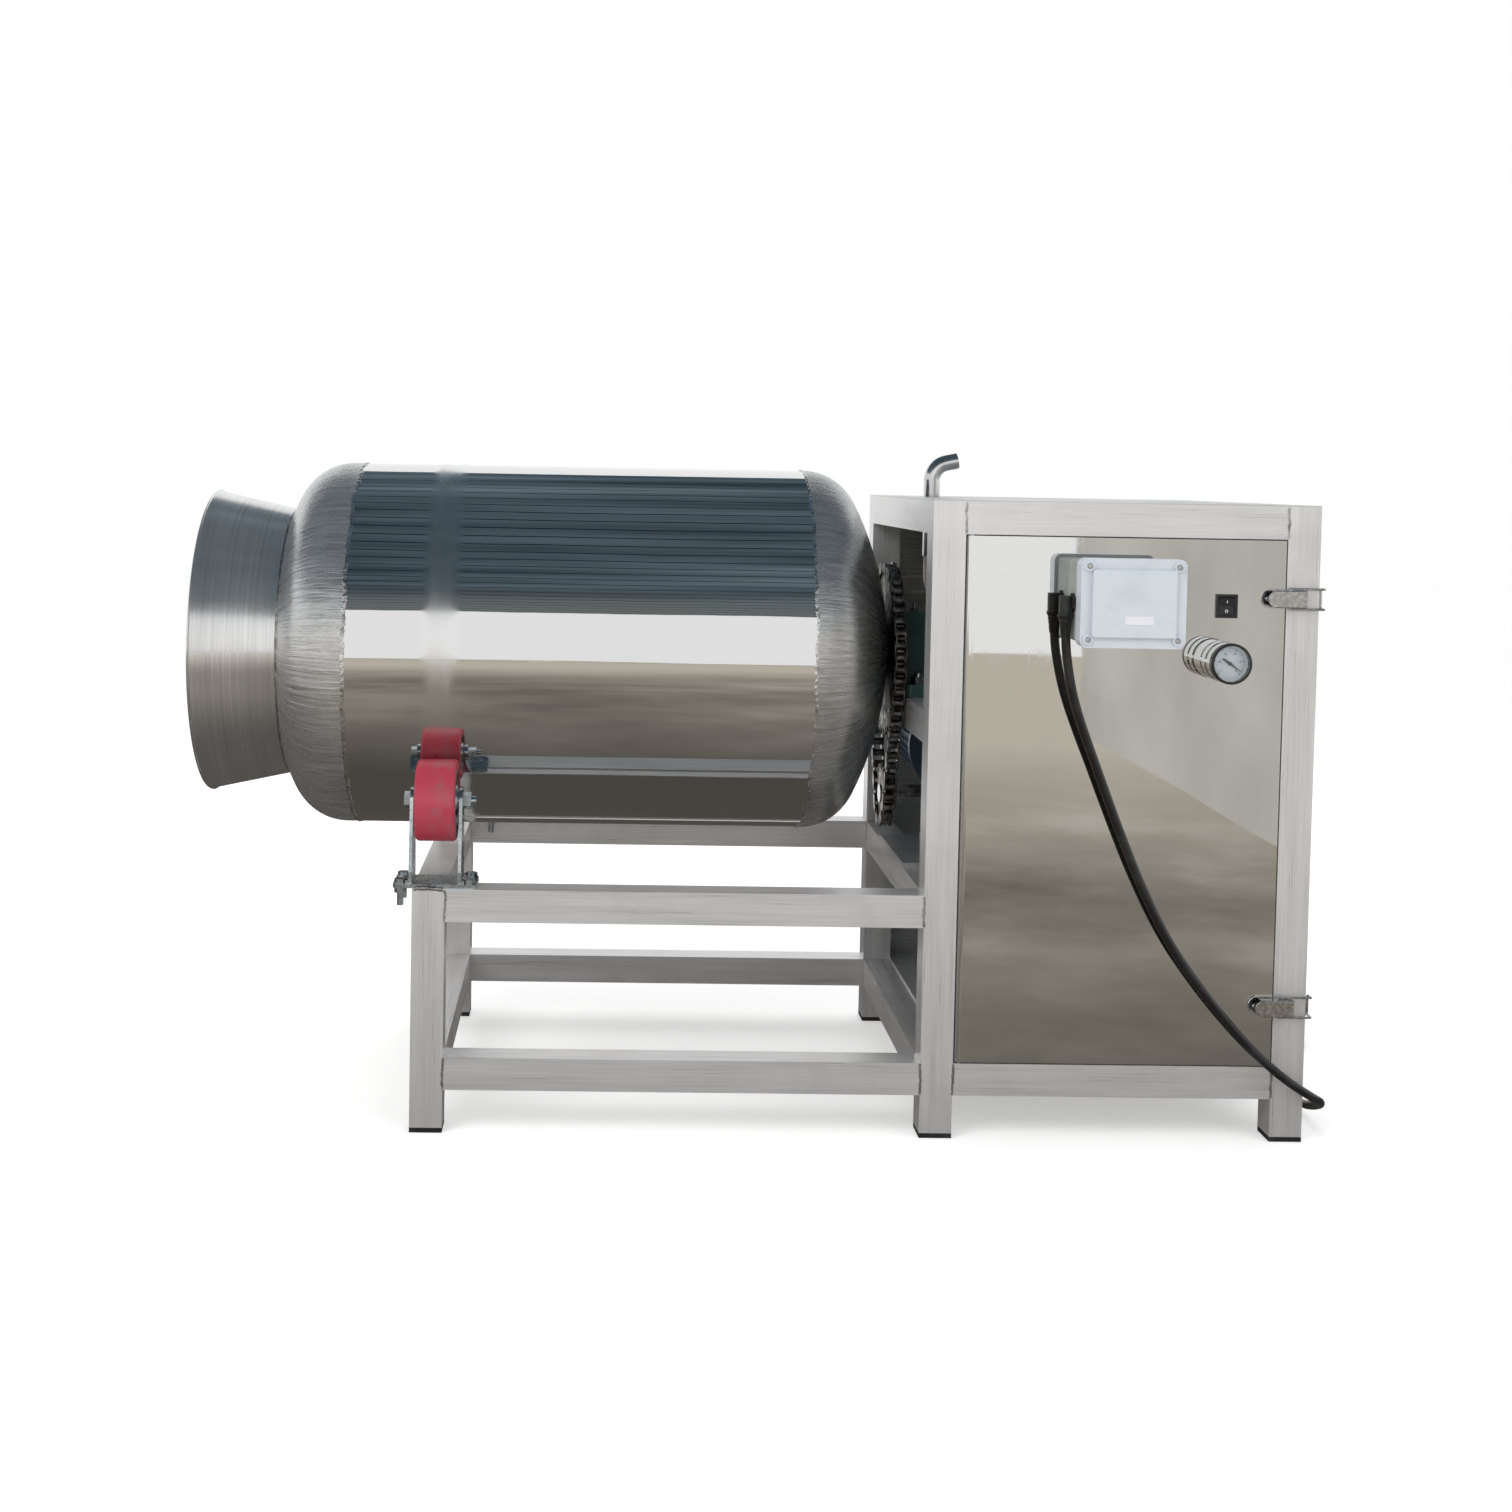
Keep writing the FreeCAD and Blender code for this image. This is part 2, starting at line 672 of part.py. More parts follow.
def head_corners(hole, flange):
    """Outline of a dished head: (radius, distance outwards from its seam), open inside radius hole."""
    crown_in, knuckle_in = head_crown - drum_sheet, head_knuckle - drum_sheet
    centre = flange + head_depth - head_crown
    lean = (drum_radius - head_knuckle) / (head_crown - head_knuckle)
    rise = root(1 - lean * lean)
    return [
        (drum_radius, Size(0)),
        (drum_radius, flange),
        (head_crown * lean, centre + head_crown * rise, head_knuckle, 1),
        (hole, centre + root(head_crown * head_crown - hole * hole), head_crown, 1),
        (hole, centre + root(crown_in * crown_in - hole * hole)),
        (crown_in * lean, centre + crown_in * rise, crown_in, -1),
        (drum_radius - drum_sheet, flange, knuckle_in, -1),
        (drum_radius - drum_sheet, Size(0)),
    ]


def make_drum():
    shell = cut(rod(shell_front_x, axis_y, axis_height, drum_radius, shell_length, TO_PLUS_X),
                rod(shell_front_x - PASS, axis_y, axis_height, drum_radius - drum_sheet,
                    shell_length + 2 * PASS, TO_PLUS_X))
    made("drum_shell", shell)
    made("front_head", lathed(shell_front_x, axis_y, axis_height, TO_MINUS_X,
                              head_corners(throat_radius, front_flange)))
    made("rear_head", lathed(shell_rear_x, axis_y, axis_height, TO_PLUS_X,
                             head_corners(shaft_radius, rear_flange)))
    inner = throat_radius - drum_sheet
    rim_in = rim_radius - drum_sheet
    made("mouth_cone", lathed(throat_x, axis_y, axis_height, TO_MINUS_X, [
        (inner, Size(0)),
        (throat_radius, Size(0)),
        (rim_radius, cone_length - 2 * rim_lip),
        (rim_radius + rim_lip, cone_length - rim_lip, rim_lip, -1),
        (rim_radius, cone_length, rim_lip, 1),
        (rim_in, cone_length),
    ]))
    fins = []
    for index in range(baffle_count):
        turn = TO_PLUS_X.multiply(Rotation(Vector(0, 0, 1), index * 360 / baffle_count))
        fins.append(shaped(baffle_shape(turn)))
    group("drum_baffles", *fins)


def baffle_shape(turn):
    """A lifting fin welded inside the shell: a web with a folded inner edge, its foot on the wall."""
    wall = float(drum_radius - drum_sheet)
    inner = wall - float(baffle_height)
    sheet_half = float(drum_sheet) / 2
    fold = float(baffle_fold)
    seat = math.sqrt(wall ** 2 - sheet_half ** 2) - 0.02
    corners = [(seat, -sheet_half), (seat, sheet_half), (inner + fold * 0.6, sheet_half),
               (inner, fold), (inner - 2, fold - 2), (inner + fold * 0.6 - 3, -sheet_half)]
    start = float(shell_front_x + (shell_length - baffle_length) / 2)
    face = Part.Face(Part.makePolygon([Vector(u, v, 0) for u, v in corners + corners[:1]]))
    solid = face.extrude(Vector(0, 0, float(baffle_length)))
    solid.Placement = Placement(Vector(start, axis_y, axis_height), turn)
    return solid


def make_shaft():
    """A hollow shaft, through which the drum is evacuated, with the bearing's inner part on it."""
    start = head_apex_x - shaft_inside
    length = shaft_end - start
    shaft = cut(rod(start, axis_y, axis_height, shaft_radius, length, TO_PLUS_X),
                rod(start - PASS, axis_y, axis_height, shaft_bore, length + 2 * PASS, TO_PLUS_X))
    race = cut(rod(block_x - housing_width / 2, axis_y, axis_height, insert_radius, housing_width, TO_PLUS_X),
               rod(block_x - housing_width / 2 - PASS, axis_y, axis_height, shaft_radius,
                   housing_width + 2 * PASS, TO_PLUS_X))
    group("drum_shaft", shaft, race)


# ---------------------------------------------------------------- bearing and casters

def make_pillow_block():
    half = block_length / 2
    waist = housing_radius * 0.92
    body = padded(block_x - housing_width / 2, axis_y, axis_height, "YZ_Plane", [
        (-half * 0.62, -block_height + block_foot - 1),
        (half * 0.62, -block_height + block_foot - 1),
        (waist, root(housing_radius * housing_radius - waist * waist)),
        (-waist, root(housing_radius * housing_radius - waist * waist), housing_radius, 1),
    ], housing_width)
    foot = rounded(block(middle_leg_x, axis_y - half, beam_top, block_width, block_length, block_foot),
                   8, runs_along(Vector(0, 0, 1)))
    seat = rod(middle_leg_x - PASS, axis_y, axis_height, insert_radius + running_gap,
               block_width + 2 * PASS, TO_PLUS_X)
    holes = [rod(middle_leg_x + tube / 2, axis_y + side * block_bolt_span / 2, beam_top - PASS,
                 bolt_radius + 0.5, block_foot + 2 * PASS) for side in (-1, 1)]
    made("pillow_block", cut(joined(body, foot), seat, *holes))


def block_fasteners():
    """The pillow block's two bolts and the grease nipple on its crown."""
    foot_top = beam_top + block_foot
    found = []
    for side in (-1, 1):
        at = (middle_leg_x + tube / 2, axis_y + side * block_bolt_span / 2)
        found.append(joined(rod(*at, beam_top, bolt_radius, block_foot + 14), nut(*at, foot_top, 11, 9)))
    crown = axis_height + housing_radius
    found.append(joined(nut(block_x, axis_y, crown, 5.5, 5), rod(block_x, axis_y, crown + 4, 3, 7.5)))
    return found


def caster_sides():
    """The two casters: outer direction, wheel centre Y."""
    return ((-1, front_y + wheel_inset), (1, rear_y + tube - wheel_inset))


def fork_arm(x, y):
    """One cheek of the fork: wide at the foot, round at the axle."""
    top = wheel_height - left_rail_top - plate_thickness
    foot_half = plate_depth / 2 - arm_inset
    eye = axle_eye
    return padded(x, y, left_rail_top + plate_thickness, "YZ_Plane", [
        (-foot_half, Size(0)),
        (foot_half, Size(0)),
        (foot_half, Size(14)),
        (eye, top),
        (Size(0), top + eye, eye, 1),
        (-eye, top, eye, 1),
        (-foot_half, Size(14)),
    ], fork_sheet)


def make_casters():
    plate_z = left_rail_top
    arm_x = (wheel_x - wheel_width / 2 - fork_gap - fork_sheet, wheel_x + wheel_width / 2 + fork_gap)
    brackets, axles, tyres, cores, bolts = [], [], [], [], []
    for side, y in caster_sides():
        plate = rounded(block(wheel_x - plate_length / 2, y - plate_depth / 2, plate_z,
                              plate_length, plate_depth, plate_thickness), 6, runs_along(Vector(0, 0, 1)))
        arms = [fork_arm(x, y) for x in arm_x]
        feet = [block(x, y - plate_depth / 2 + arm_inset, plate_z + plate_thickness, 12,
                      plate_depth - 2 * arm_inset, fork_sheet)
                for x in (arm_x[0] - 12 + fork_sheet, arm_x[1])]
        bore = rod(arm_x[0] - PASS, y, wheel_height, axle_radius, arm_x[1] + fork_sheet - arm_x[0] + 2 * PASS,
                   TO_PLUS_X)
        places = caster_bolt_places(side, y)
        holes = [rod(*at, plate_z - PASS, caster_bolt_radius, plate_thickness + 2 * PASS) for at, _ in places]
        notches = [rod(*at, plate_z + plate_thickness, caster_bolt_head + soft_gap, fork_sheet + PASS)
                   for at, _ in places]
        brackets.append(cut(joined(plate, *arms, *feet), bore, *holes, *notches))
        axle_from = arm_x[0] - axle_head
        axle_length = arm_x[1] + fork_sheet + axle_nut + axle_tail - axle_from
        axle = joined(rod(axle_from, y, wheel_height, axle_radius, axle_length, TO_PLUS_X),
                      nut(axle_from, y, wheel_height, axle_hex, axle_head, TO_PLUS_X),
                      nut(arm_x[1] + fork_sheet, y, wheel_height, axle_hex, axle_nut, TO_PLUS_X))
        axles.append(axle)
        for at, hangs in places:
            bolts.append(caster_bolt(at, plate_z, hangs))
        tyres.append(wheel_tyre(y))
        cores.append(wheel_core(y))
    group("caster_brackets", *brackets)
    group("caster_axles", *axles)
    made("front_tyre", tyres[0])
    made("rear_tyre", tyres[1])
    made("front_wheel_core", cores[0])
    made("rear_wheel_core", cores[1])
    return bolts


def caster_bolt_places(side, y):
    """The plate's four bolts, and whether each hangs free; one goes into the rail's top instead."""
    bolt_x = plate_length / 2 - 9
    bolt_y = plate_depth / 2 - 8
    return [((wheel_x + sx * bolt_x, y + sy * bolt_y), not (sx > 0 and sy == side))
            for sx in (-1, 1) for sy in (-1, 1)]


def caster_bolt(at, plate_z, hangs):
    """A hexagon bolt through the plate; one that hangs free also shows its nut and thread end."""
    head = nut(*at, plate_z + plate_thickness, caster_bolt_head, 5.5)
    if not hangs:
        return joined(head, rod(*at, plate_z, caster_bolt_radius, plate_thickness))
    drop = caster_bolt_length - plate_thickness
    return joined(head, rod(*at, plate_z - drop, caster_bolt_radius, caster_bolt_length),
                  nut(*at, plate_z - 6.5, caster_bolt_head, 6.5))


def wheel_tyre(y):
    """Red polyurethane tread with rounded shoulders."""
    shoulder = tread_shoulder
    inner = wheel_radius - tread_thickness
    return lathed(wheel_x - wheel_width / 2, y, wheel_height, TO_PLUS_X, [
        (inner, Size(0)),
        (wheel_radius - shoulder, Size(0)),
        (wheel_radius, shoulder, shoulder, 1),
        (wheel_radius, wheel_width - shoulder),
        (wheel_radius - shoulder, wheel_width, shoulder, 1),
        (inner, wheel_width),
    ])


def wheel_core(y):
    """Cast core: a rim, a thinner web and a hub bored for the axle."""
    rim = wheel_radius - tread_thickness
    bore = axle_radius + running_gap
    hub = bore + 9
    ends = fork_gap - soft_gap
    web = wheel_width / 2
    return lathed(wheel_x - wheel_width / 2, y, wheel_height, TO_PLUS_X, [
        (bore, -ends),
        (hub, -ends),
        (hub, web - 7),
        (rim - 6, web - 7),
        (rim - 4, Size(0) + 1),
        (rim, Size(0) + 1),
        (rim, wheel_width - 1),
        (rim - 4, wheel_width - 1),
        (rim - 6, web + 7),
        (hub, web + 7),
        (hub, wheel_width + ends),
        (bore, wheel_width + ends),
    ])


# ---------------------------------------------------------------- chain drive

def sprocket_face(teeth, bore):
    """A sprocket's flat outline: a roller seat between each two teeth, the first seat straight up."""
    seat = float(roller_radius + running_gap)
    middle = pitch_radius(teeth)
    tip = middle + 0.25 * float(chain_pitch)
    step = math.tau / teeth
    edges = []
    for index in range(teeth):
        at = index * step

        def point(radius, angle):
            return Vector(radius * math.sin(angle), radius * math.cos(angle), 0)

        def seat_point(spread):
            inward = point(1, at) * -1
            across = point(1, at + math.pi / 2)
            return point(middle, at) + (inward * math.cos(spread) + across * math.sin(spread)) * seat
        spread = math.radians(68)
        left, bottom, right = seat_point(-spread), seat_point(0), seat_point(spread)
        rise_start = point(tip, at + step * 0.43)
        rise_end = point(tip, at + step * 0.57)
        next_left = Rotation(Vector(0, 0, 1), -math.degrees(step)).multVec(left)
        edges += [Part.Arc(left, bottom, right).toShape(), Part.makeLine(right, rise_start),
                  Part.makeLine(rise_start, rise_end), Part.makeLine(rise_end, next_left)]
    face = Part.Face(Part.Wire(edges))
    return face.cut(Part.Face(Part.Wire([Part.Circle(Vector(), Vector(0, 0, 1), float(bore)).toShape()])))


def sprocket(teeth, bore, z, first_seat):
    """A toothed disc in the chain's plane; first_seat turns its first roller seat from straight up."""
    disc = sprocket_face(teeth, bore).extrude(Vector(0, 0, float(sprocket_width)))
    # the flat outline's up is its own Y: it turns to +Z, and its thickness to +X
    stand = Rotation(Vector(0, 1, 0), Vector(0, 0, 1), Vector(1, 0, 0), "XYZ")
    disc.Placement = Placement(Vector(sprocket_x - sprocket_width / 2, axis_y, z),
                               stand.multiply(Rotation(Vector(0, 0, 1), first_seat)))
    return disc


def make_sprockets():
    made("driven_sprocket", shaped(sprocket(driven_teeth, shaft_radius, axis_height, 0)))
    hub_radius = output_radius + 8
    disc = sprocket(drive_teeth, output_radius, output_height, 180)
    hub = cut(rod(sprocket_x + sprocket_width / 2, axis_y, output_height, hub_radius, 10, TO_PLUS_X),
              rod(sprocket_x, axis_y, output_height, output_radius, 40, TO_PLUS_X))
    doc.recompute()
    made("drive_sprocket", shaped(disc.fuse(hub.Shape)))
    start = sprocket_x - sprocket_width / 2 - 2
    made("output_shaft", rod(start, axis_y, output_height, output_radius, gearbox_x + 2 - start + 20,
                             TO_PLUS_X))


def roller_centres():
    """Centres of the chain's rollers in (Y, Z), round the drive from the driven sprocket's top."""
    big, small = pitch_radius(driven_teeth), pitch_radius(drive_teeth)
    big_step, small_step = math.tau / driven_teeth, math.tau / drive_teeth
    centre_y, top_z, low_z = float(axis_y), float(axis_height), float(output_height)
    rollers = []
    for index in range(-seated_driven, seated_driven + 1):
        angle = index * big_step
        rollers.append((centre_y + big * math.sin(angle), top_z + big * math.cos(angle)))
    low = []
    for index in range(seated_drive, -seated_drive - 1, -1):
        angle = index * small_step
        low.append((centre_y + small * math.sin(angle), low_z - small * math.cos(angle)))

    def between(first, last):
        return [(first[0] + (last[0] - first[0]) * k / run_links, first[1] + (last[1] - first[1]) * k / run_links)
                for k in range(1, run_links)]
    return rollers + between(rollers[-1], low[0]) + low + between(low[-1], rollers[0])


def link_plate(first, last, x):
    """A waisted side plate between two rollers, as an eight-sided outline."""
    start, end = Vector(0, *first), Vector(0, *last)
    ahead = (end - start).normalize()
    up = Vector(1, 0, 0).cross(ahead)
    half = float(link_height) / 2
    cap = half * 0.45
    outline_points = []
    for origin, way in ((end, 1), (start, -1)):
        for reach, rise in ((0, half), (cap * 1.6, cap), (cap * 1.6, -cap), (0, -half)):
            outline_points.append(origin + ahead * reach * way + up * rise * way)
    polygon = [p + Vector(x, 0, 0) for p in outline_points]
    face = Part.Face(Part.makePolygon(polygon + polygon[:1]))
    return face.extrude(Vector(float(link_sheet), 0, 0))


def roller(centre, length):
    """A roller as an eight-sided prism inside its true circle."""
    ring = [Vector(-length / 2, centre[0] + float(roller_radius) * math.cos(math.tau * (k + 0.5) / 8),
                   centre[1] + float(roller_radius) * math.sin(math.tau * (k + 0.5) / 8)) for k in range(8)]
    return Part.Face(Part.makePolygon(ring + ring[:1])).extrude(Vector(length, 0, 0))


def make_chain():
    """Inner links carry two rollers each, outer links two plates just outside them."""
    rollers = roller_centres()
    inside = float(sprocket_width) / 2 + 0.3
    middle = Vector(sprocket_x, 0, 0)
    links = []
    for index, first in enumerate(rollers):
        last = rollers[(index + 1) % len(rollers)]
        if index % 2:
            reach = inside + float(link_sheet) + 0.1
            links += [link_plate(first, last, x) for x in (-reach - float(link_sheet), reach)]
        else:
            plates = [link_plate(first, last, x) for x in (-inside - float(link_sheet), inside)]
            bars = [roller(at, 2 * inside) for at in (first, last)]
            links.append(plates[0].multiFuse([plates[1]] + bars))
    for link in links:
        link.translate(middle)
    made("drive_chain", shaped(Part.makeCompound(links)))


# ---------------------------------------------------------------- gear motor, pump and vacuum line

def make_gear_motor():
    low = shelf_top
    x = gearbox_x
    y = axis_y - gearbox_depth / 2
    foot = block(x, y - 8, low, gearbox_width, gearbox_depth + 16, 10)
    case = rounded(block(x + 8, y, low, gearbox_width - 16, gearbox_depth, output_height + gearbox_top - low),
                   18, runs_along(Vector(1, 0, 0)))
    boss = rod(x + 1, axis_y, output_height, 44, gearbox_width - 2, TO_PLUS_X)
    bore = rod(x - PASS, axis_y, output_height, output_radius + running_gap, 24 + PASS, TO_PLUS_X)
    made("gearbox", cut(joined(foot, case, boss), bore))
    worm_z = output_height + worm_offset
    motor_x = x + gearbox_width / 2
    flange_y = axis_y + gearbox_depth / 2
    motor_z = worm_z - 6
    flange = rod(motor_x, flange_y, motor_z, motor_radius + 8, 10, TO_PLUS_Y)
    can = rod(motor_x, flange_y, motor_z, motor_radius, motor_length, TO_PLUS_Y)
    cowl = cone(motor_x, flange_y + motor_length * 0.78, motor_z, motor_radius + 3, motor_radius - 2,
                motor_length * 0.24, TO_PLUS_Y)
    terminal = block(motor_x - 34, flange_y + 40, motor_z + motor_radius - 12, 68, 74, 36)
    made("motor", joined(flange, can, cowl, terminal))
    base_top = lower_rail_top + base_sheet
    pump_x = right_leg_x - pump_length - pump_inset
    pump_y = rear_y - pump_depth - pump_setback
    feet = [block(pump_x + 12 + k * (pump_length - 50), pump_y + 10, base_top, 26, pump_depth - 20, 14)
            for k in (0, 1)]
    case = rounded(block(pump_x, pump_y, base_top + 14, pump_length, pump_depth, pump_height - 34),
                   14, runs_along(Vector(1, 0, 0)))
    can = rod(pump_x - 96, pump_y + pump_depth / 2, base_top + 72, 50, 96, TO_PLUS_X)
    port_y, port_top = pump_y + pump_depth / 2, base_top + pump_height + port_rise
    dome = rod(pump_x + release_port, port_y, port_top - 30, 26, 30)
    neck = rod(pump_x + suction_port, port_y, port_top - 30, hose_radius + 3, 30)
    made("vacuum_pump", joined(*feet, case, can, dome, neck))
    journal = rod(shaft_end - 16, axis_y, axis_height, shaft_bore - running_gap, 20, TO_PLUS_X)
    neck_part = rod(shaft_end + soft_gap, axis_y, axis_height, union_radius - 4, 10, TO_PLUS_X)
    barrel = rod(shaft_end + 10, axis_y, axis_height, union_radius, union_length - 10, TO_PLUS_X)
    made("rotary_union", joined(journal, neck_part, barrel))
    inlet = Vector(pump_x + suction_port, port_y, port_top)
    outlet = Vector(pump_x + release_port, port_y, port_top)
    union_end = shaft_end + union_length
    suction = [Vector(union_end, axis_y, axis_height), Vector(union_end + hose_reach, axis_y, axis_height),
               Vector(inlet.x, inlet.y, axis_height - hose_drop), inlet]
    pipe_foot = Vector(exhaust_x, exhaust_y, top_rail_bottom - exhaust_foot)
    release = [outlet, outlet + Vector(0, 0, hose_lift),
               Vector(exhaust_x + hose_sweep, exhaust_y + 30, pipe_foot.z - hose_turn),
               pipe_foot - Vector(0, 0, hose_drop), pipe_foot]
    hoses = []
    for route in (suction, release):
        hoses.append(shaped(swept(route, [float(hose_bend)] * (len(route) - 2), hose_radius)))
    group("vacuum_hoses", *hoses)


# ---------------------------------------------------------------- door and controls

def make_door():
    """A shallow pan of polished sheet, its left edge rolled round the pivot pins."""
    width, height = door_right - door_left, door_top - door_bottom
    turn = pivot_inset
    skin = padded(door_left, front_y + door_depth, door_bottom, "XY_Plane", [
        (Size(0), -door_depth + turn),
        (turn, -door_depth, turn, 1),
        (width, -door_depth),
        (width, Size(0)),
        (width - 12, Size(0)),
        (width - 12, -door_sheet),
        (width - door_sheet, -door_sheet),
        (width - door_sheet, -door_depth + door_sheet),
        (turn, -door_depth + door_sheet),
        (door_sheet, -door_depth + turn, turn - door_sheet, -1),
        (door_sheet, Size(0)),
        (Size(0), Size(0)),
    ], height)
    ends = [block(door_left + turn, front_y + door_sheet, z, width - turn - door_sheet,
                  door_depth - 2 * door_sheet, door_sheet)
            for z in (door_bottom, door_top - door_sheet)]
    switch_hole = block(switch_x - rocker_width / 2 - 2, front_y - PASS, switch_height - rocker_height / 2 - 1,
                        rocker_width + 4, door_sheet + 2 * PASS, rocker_height + 2)
    gauge_hole = rod(gauge_x, front_y + door_sheet + PASS, gauge_height, 6, door_sheet + 2 * PASS, TO_MINUS_Y)
    pin_holes = [rod(pivot_x, pivot_y, z - PASS, pivot_radius + running_gap, door_sheet + 2 * PASS)
                 for z in (door_bottom, door_top - door_sheet)]
    made("door_panel", cut(joined(skin, *ends), switch_hole, gauge_hole, *pin_holes))
    pins = []
    for z, low in ((door_bottom, True), (door_top, False)):
        start = z - pivot_reach - door_gap if low else z - pivot_pin
        lug_z = z + door_sheet if low else z - door_sheet - lug_height
        lug = block(pivot_x, pivot_y - pivot_inset + door_sheet, lug_z, lug_length, lug_height / 2, lug_height)
        barrel = rod(pivot_x, pivot_y, lug_z, pivot_radius + 2.2, lug_height)
        pins.append(joined(rod(pivot_x, pivot_y, start, pivot_radius, pivot_pin + pivot_reach + door_gap), barrel, lug))
    return pins


def make_box():
    """Grey plastic control box: a base on the door and a deeper-cornered lid with a raised field."""
    base_depth = box_depth - lid_thickness
    lid_front = front_y - box_depth
    base = rounded(block(box_x + base_inset, front_y - base_depth, box_bottom + base_inset,
                         box_width - 2 * base_inset, base_depth, box_height - 2 * base_inset),
                   box_corner - base_inset, runs_along(Vector(0, 1, 0)))
    made("control_box_base", base)
    skirt = rounded(block(box_x, lid_front + lid_raise, box_bottom, box_width, lid_thickness - lid_raise,
                          box_height), box_corner, runs_along(Vector(0, 1, 0)))
    inset = box_corner + 4
    field = rounded(block(box_x + inset, lid_front, box_bottom + inset, box_width - 2 * inset,
                          lid_raise + PASS, box_height - 2 * inset), 3, runs_along(Vector(0, 1, 0)))
    made("control_box_lid", joined(skirt, field))


def make_fittings():
    """The cable gland on the box's left wall, with its mouth turned down, and the box's side screw."""
    wall_x = box_x + base_inset
    at_y, at_z = front_y - gland_setback, box_bottom + gland_rise
    nut_ring = nut(wall_x, at_y, at_z, gland_radius + 1.5, 4, TO_MINUS_X)
    elbow = rod(wall_x - 4, at_y, at_z, gland_radius - 2.5, gland_reach - 4, TO_MINUS_X)
    knee = rod(gland_x, at_y, gland_z, gland_radius - 1.6, gland_drop + gland_radius - 2)
    screw = rod(box_x + box_width - base_inset, front_y - 30, box_bottom + box_height * 0.62, 4, 4.5, TO_PLUS_X)
    group("box_fittings", joined(nut_ring, elbow, knee), screw)


def make_switch():
    """Rocker switch: a black bezel in the door and a tilted rocker on a pin along X."""
    slot = 0.3
    frame = block(switch_x - bezel_width / 2, front_y - bezel_depth, switch_height - bezel_height / 2,
                  bezel_width, bezel_depth, bezel_height)
    inner = block(switch_x - rocker_width / 2 - 1.6, front_y, switch_height - rocker_height / 2 - 0.6,
                  rocker_width + 3.2, switch_body - 3, rocker_height + 1.2)
    well = block(switch_x - rocker_width / 2 - slot, front_y - bezel_depth - PASS,
                 switch_height - rocker_height / 2 - 0.2, rocker_width + 2 * slot, bezel_depth + PASS + 9,
                 rocker_height + 0.4)
    pin_reach = rocker_width / 2 + slot + 0.9
    socket = rod(switch_x - pin_reach - soft_gap, front_y, switch_height, rocker_pin + running_gap,
                 2 * (pin_reach + soft_gap), TO_PLUS_X)
    made("switch_bezel", cut(joined(frame, inner), well, socket))
    half = float(rocker_height) / 2 - 0.4
    back = 7.2
    corners = [(0.5, -half), (-3.2, -half), (-1.6, 0.0), (-3.2, half), (0.5, half),
               (back - 2.5, half * 0.62), (back - 0.6, 0.0), (back - 2.5, -half * 0.62)]
    profile = [Vector(-float(rocker_width) / 2, y, z) for y, z in corners]
    face = Part.Face(Part.makePolygon(profile + profile[:1]))
    rocker = face.extrude(Vector(float(rocker_width), 0, 0))
    rocker.Placement = Placement(Vector(switch_x, front_y, switch_height),
                                 Rotation(Vector(1, 0, 0), float(rocker_tilt)))
    pin = rod(switch_x - pin_reach, front_y, switch_height, rocker_pin, 2 * pin_reach, TO_PLUS_X)
    doc.recompute()
    made("switch_rocker", shaped(rocker.fuse(pin.Shape)))


def make_gauge():
    """Vacuum gauge: a stepped steel barrel, a black ring, a white dial and a needle."""
    barrel = gauge_reach - gauge_ring
    step = gauge_radius - 1.6
    wall = gauge_radius - 3
    made("gauge_case", lathed(gauge_x, front_y, gauge_height, TO_MINUS_Y, [
        (Size(0), Size(0)),
        (gauge_radius - 0.6, Size(0)),
        (gauge_radius - 0.6, barrel * 0.24),
        (step, barrel * 0.27),
        (step, barrel * 0.34),
        (gauge_radius, barrel * 0.38),
        (gauge_radius, barrel * 0.62),
        (step, barrel * 0.66),
        (step, barrel * 0.72),
        (gauge_radius, barrel * 0.76),
        (gauge_radius, barrel),
        (wall, barrel),
        (wall, barrel - 4),
        (Size(0), barrel - 4),
    ]))
    made("gauge_bezel", lathed(gauge_x, front_y - barrel, gauge_height, TO_MINUS_Y, [
        (wall, Size(0)),
        (gauge_radius, Size(0)),
        (gauge_radius, gauge_ring - 2),
        (gauge_radius - 2, gauge_ring, Size(2), 1),
        (wall, gauge_ring),
    ]))
    dial_front = barrel - 3
    made("gauge_dial", rod(gauge_x, front_y - barrel + 4, gauge_height, wall, 1, TO_MINUS_Y))
    pin = rod(gauge_x, front_y - dial_front, gauge_height, 2.2, 3.4, TO_MINUS_Y)
    turn = Rotation(Vector(0, 1, 0), float(needle_angle))
    blade_y = float(front_y - dial_front) - 2.6
    tail = float(needle_tail)
    points = [(-tail, -1.1), (-tail, 1.1), (0, 1.3), (float(needle_length), 0.25), (float(needle_length), -0.25),
              (0, -1.3)]
    face = Part.Face(Part.makePolygon([Vector(x, 0, z) for x, z in points + points[:1]]))
    blade = face.extrude(Vector(0, 0.9, 0))
    blade.Placement = Placement(Vector(gauge_x, blade_y, gauge_height), turn)
    doc.recompute()
    made("gauge_needle", shaped(blade.fuse(pin.Shape)))


